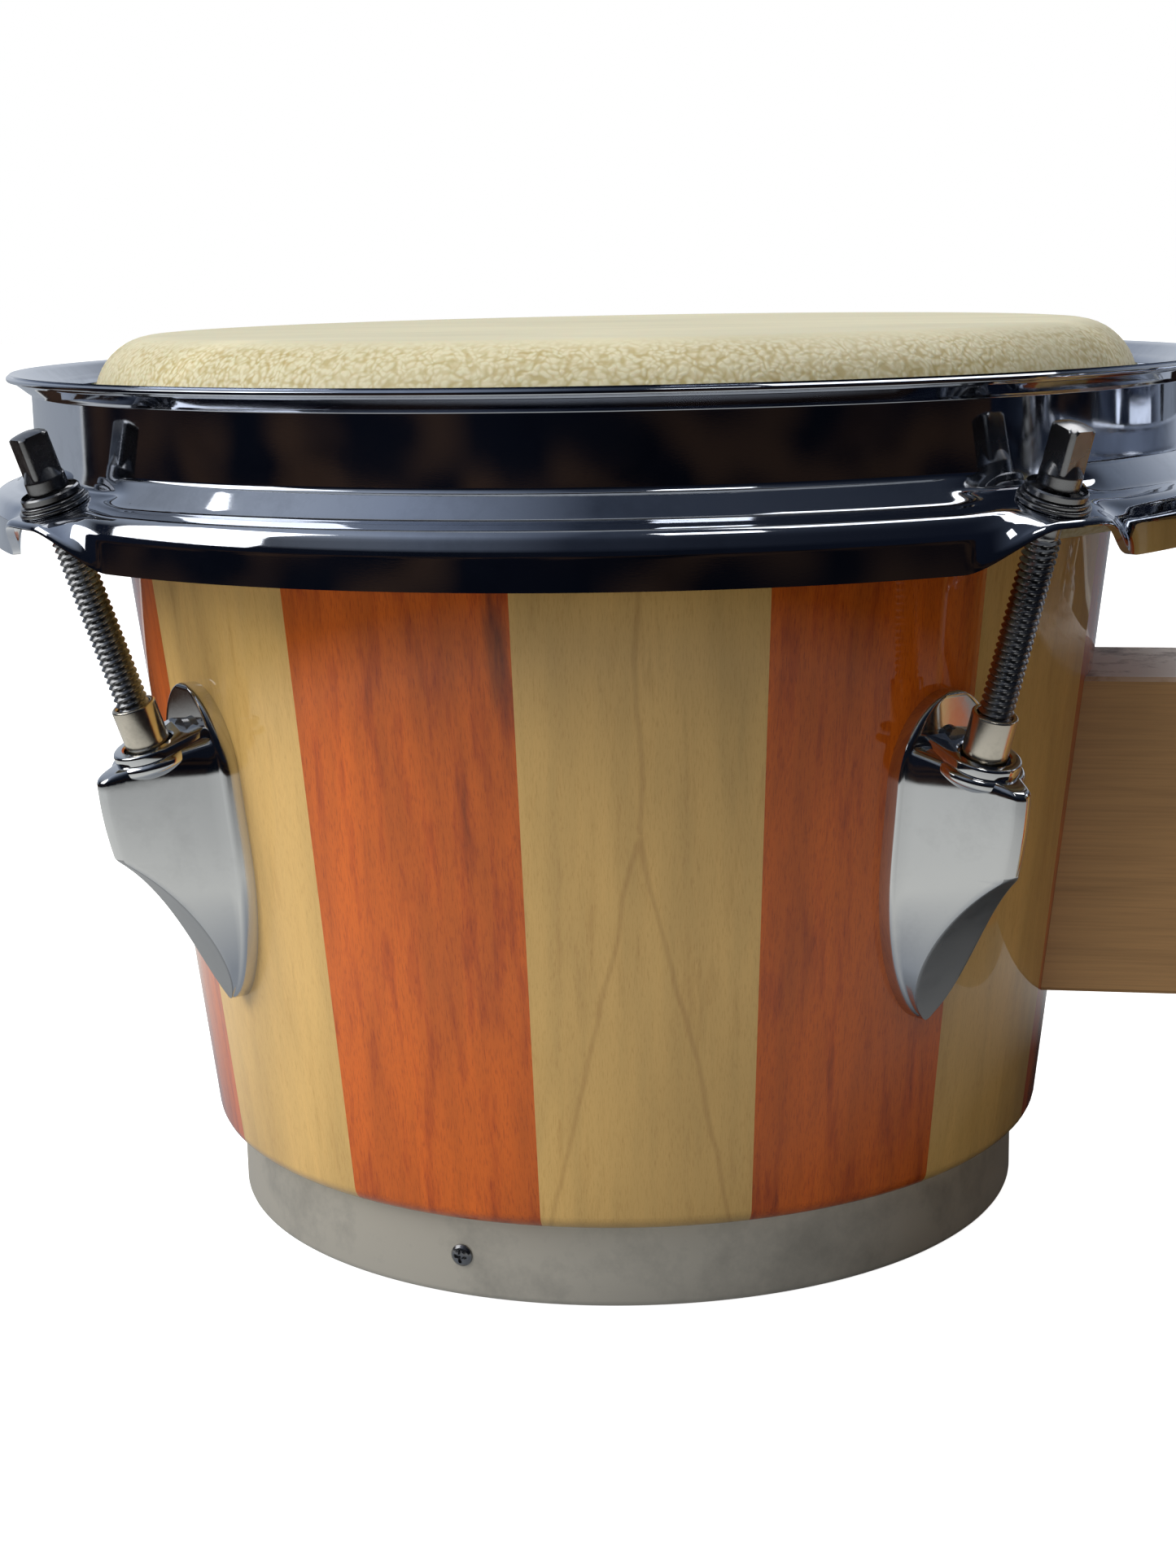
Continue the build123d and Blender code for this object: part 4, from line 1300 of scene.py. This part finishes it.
class BongoColours(bpy.types.PropertyGroup):
    """Colours of the woods, the metals and the hide."""

    maple: colour("Maple", "Bare maple under its lacquer", "#DAB26A")
    stain: colour("Stain", "The orange-red stain on every second stave", "#D1630F")
    block: colour("Bridge wood", "The sealed hardwood of the bridge block", "#BF9462")
    hide: colour("Hide", "The skins", "#CDC6A6")
    rim: colour("Rim chrome", "Chrome on the pressed rims", "#CDD1D9")
    lug: colour("Lug chrome", "Chrome on the cast lugs", "#DADBDC")
    nickel: colour("Nut nickel", "Nickel on the tube nuts", "#E0D8C9")
    steel: colour("Rod nickel", "Nickel on the rods, their keys and the washers", "#9C9C9D")
    ring: colour("Foot ring", "The aluminium strip round each foot", "#D8D0C0")


class BongoStage(bpy.types.PropertyGroup):
    """The light and the camera."""

    key_power: FloatProperty(
        name="Key light", description="Power that all the lights follow", default=12.0, min=0.0,
        unit="POWER"
    )
    camera_turn: FloatProperty(
        name="Camera turn", description="How far the camera stands round towards the bridge",
        default=math.radians(9), subtype="ANGLE",
    )


class BONGO_OT_shells(bpy.types.Operator):
    """Staves and foot rings of both drums"""

    bl_idname = "bongo.shells"
    bl_label = "Shells"

    def execute(self, context):
        for drum in DRUMS:
            staves(drum, 0, finish_of("maple"))
            staves(drum, 1, finish_of("stained"))
            foot_ring(drum, finish_of("band"))
            ring_screws(drum, context.scene.bongo_sizes.ring_screws, finish_of("steel"))
        return {"FINISHED"}


class BONGO_OT_heads(bpy.types.Operator):
    """Skins and chromed rims"""

    bl_idname = "bongo.heads"
    bl_label = "Heads"

    def execute(self, context):
        sizes = context.scene.bongo_sizes
        for drum in DRUMS:
            drum_skin(drum, sizes.skin / MM, finish_of("hide"))
            rim(drum, sizes.rim_sheet, finish_of("rim"))
        return {"FINISHED"}


class BONGO_OT_tuning(bpy.types.Operator):
    """Lugs, nuts, rods and washers"""

    bl_idname = "bongo.tuning"
    bl_label = "Tuning hardware"

    def execute(self, context):
        for drum in DRUMS:
            lugs_and_rods(drum, context.scene.bongo_sizes)
        return {"FINISHED"}


class BONGO_OT_bridge(bpy.types.Operator):
    """Bridge block and the hardware inside the shells"""

    bl_idname = "bongo.bridge"
    bl_label = "Bridge and inner hardware"

    def execute(self, context):
        repaint("bridge_block", finish_of("block"))
        for node in ("bridge_rods", "bridge_nuts", "bridge_washers"):
            repaint(node, finish_of("steel"))
        for drum in DRUMS:
            for kind in ("lug_screws", "lug_screw_washers", "flesh_hoop"):
                repaint(f"{drum.name}_{kind}", finish_of("steel"))
        return {"FINISHED"}


class BONGO_OT_stage(bpy.types.Operator):
    """Floor, lights, world and camera"""

    bl_idname = "bongo.stage"
    bl_label = "Stage"

    def execute(self, context):
        settings = context.scene.bongo_stage
        context.scene.view_settings.view_transform = "Standard"
        floor_and_lights(settings)
        camera(settings)
        return {"FINISHED"}


class BONGO_PT_panel(bpy.types.Panel):
    """Lists the pieces in the sidebar"""

    bl_label = "Bongo Drums"
    bl_idname = "BONGO_PT_panel"
    bl_space_type = "VIEW_3D"
    bl_region_type = "UI"
    bl_category = "Bongos"

    def draw(self, context):
        for kind in OPERATORS:
            self.layout.operator(kind.bl_idname)
        for group in (context.scene.bongo_sizes, context.scene.bongo_colours, context.scene.bongo_stage):
            for name in group.__annotations__:
                self.layout.prop(group, name)


OPERATORS = (BONGO_OT_shells, BONGO_OT_heads, BONGO_OT_tuning, BONGO_OT_bridge, BONGO_OT_stage)
CLASSES = (BongoSizes, BongoColours, BongoStage) + OPERATORS + (BONGO_PT_panel,)


def register():
    for kind in CLASSES:
        bpy.utils.register_class(kind)
    bpy.types.Scene.bongo_sizes = PointerProperty(type=BongoSizes)
    bpy.types.Scene.bongo_colours = PointerProperty(type=BongoColours)
    bpy.types.Scene.bongo_stage = PointerProperty(type=BongoStage)


def unregister():
    del bpy.types.Scene.bongo_sizes
    del bpy.types.Scene.bongo_colours
    del bpy.types.Scene.bongo_stage
    for kind in reversed(CLASSES):
        bpy.utils.unregister_class(kind)


def main():
    register()
    bpy.ops.bongo.shells()
    bpy.ops.bongo.heads()
    bpy.ops.bongo.tuning()
    bpy.ops.bongo.bridge()
    bpy.ops.bongo.stage()
    bpy.context.view_layer.update()


if __name__ == "__main__":
    main()
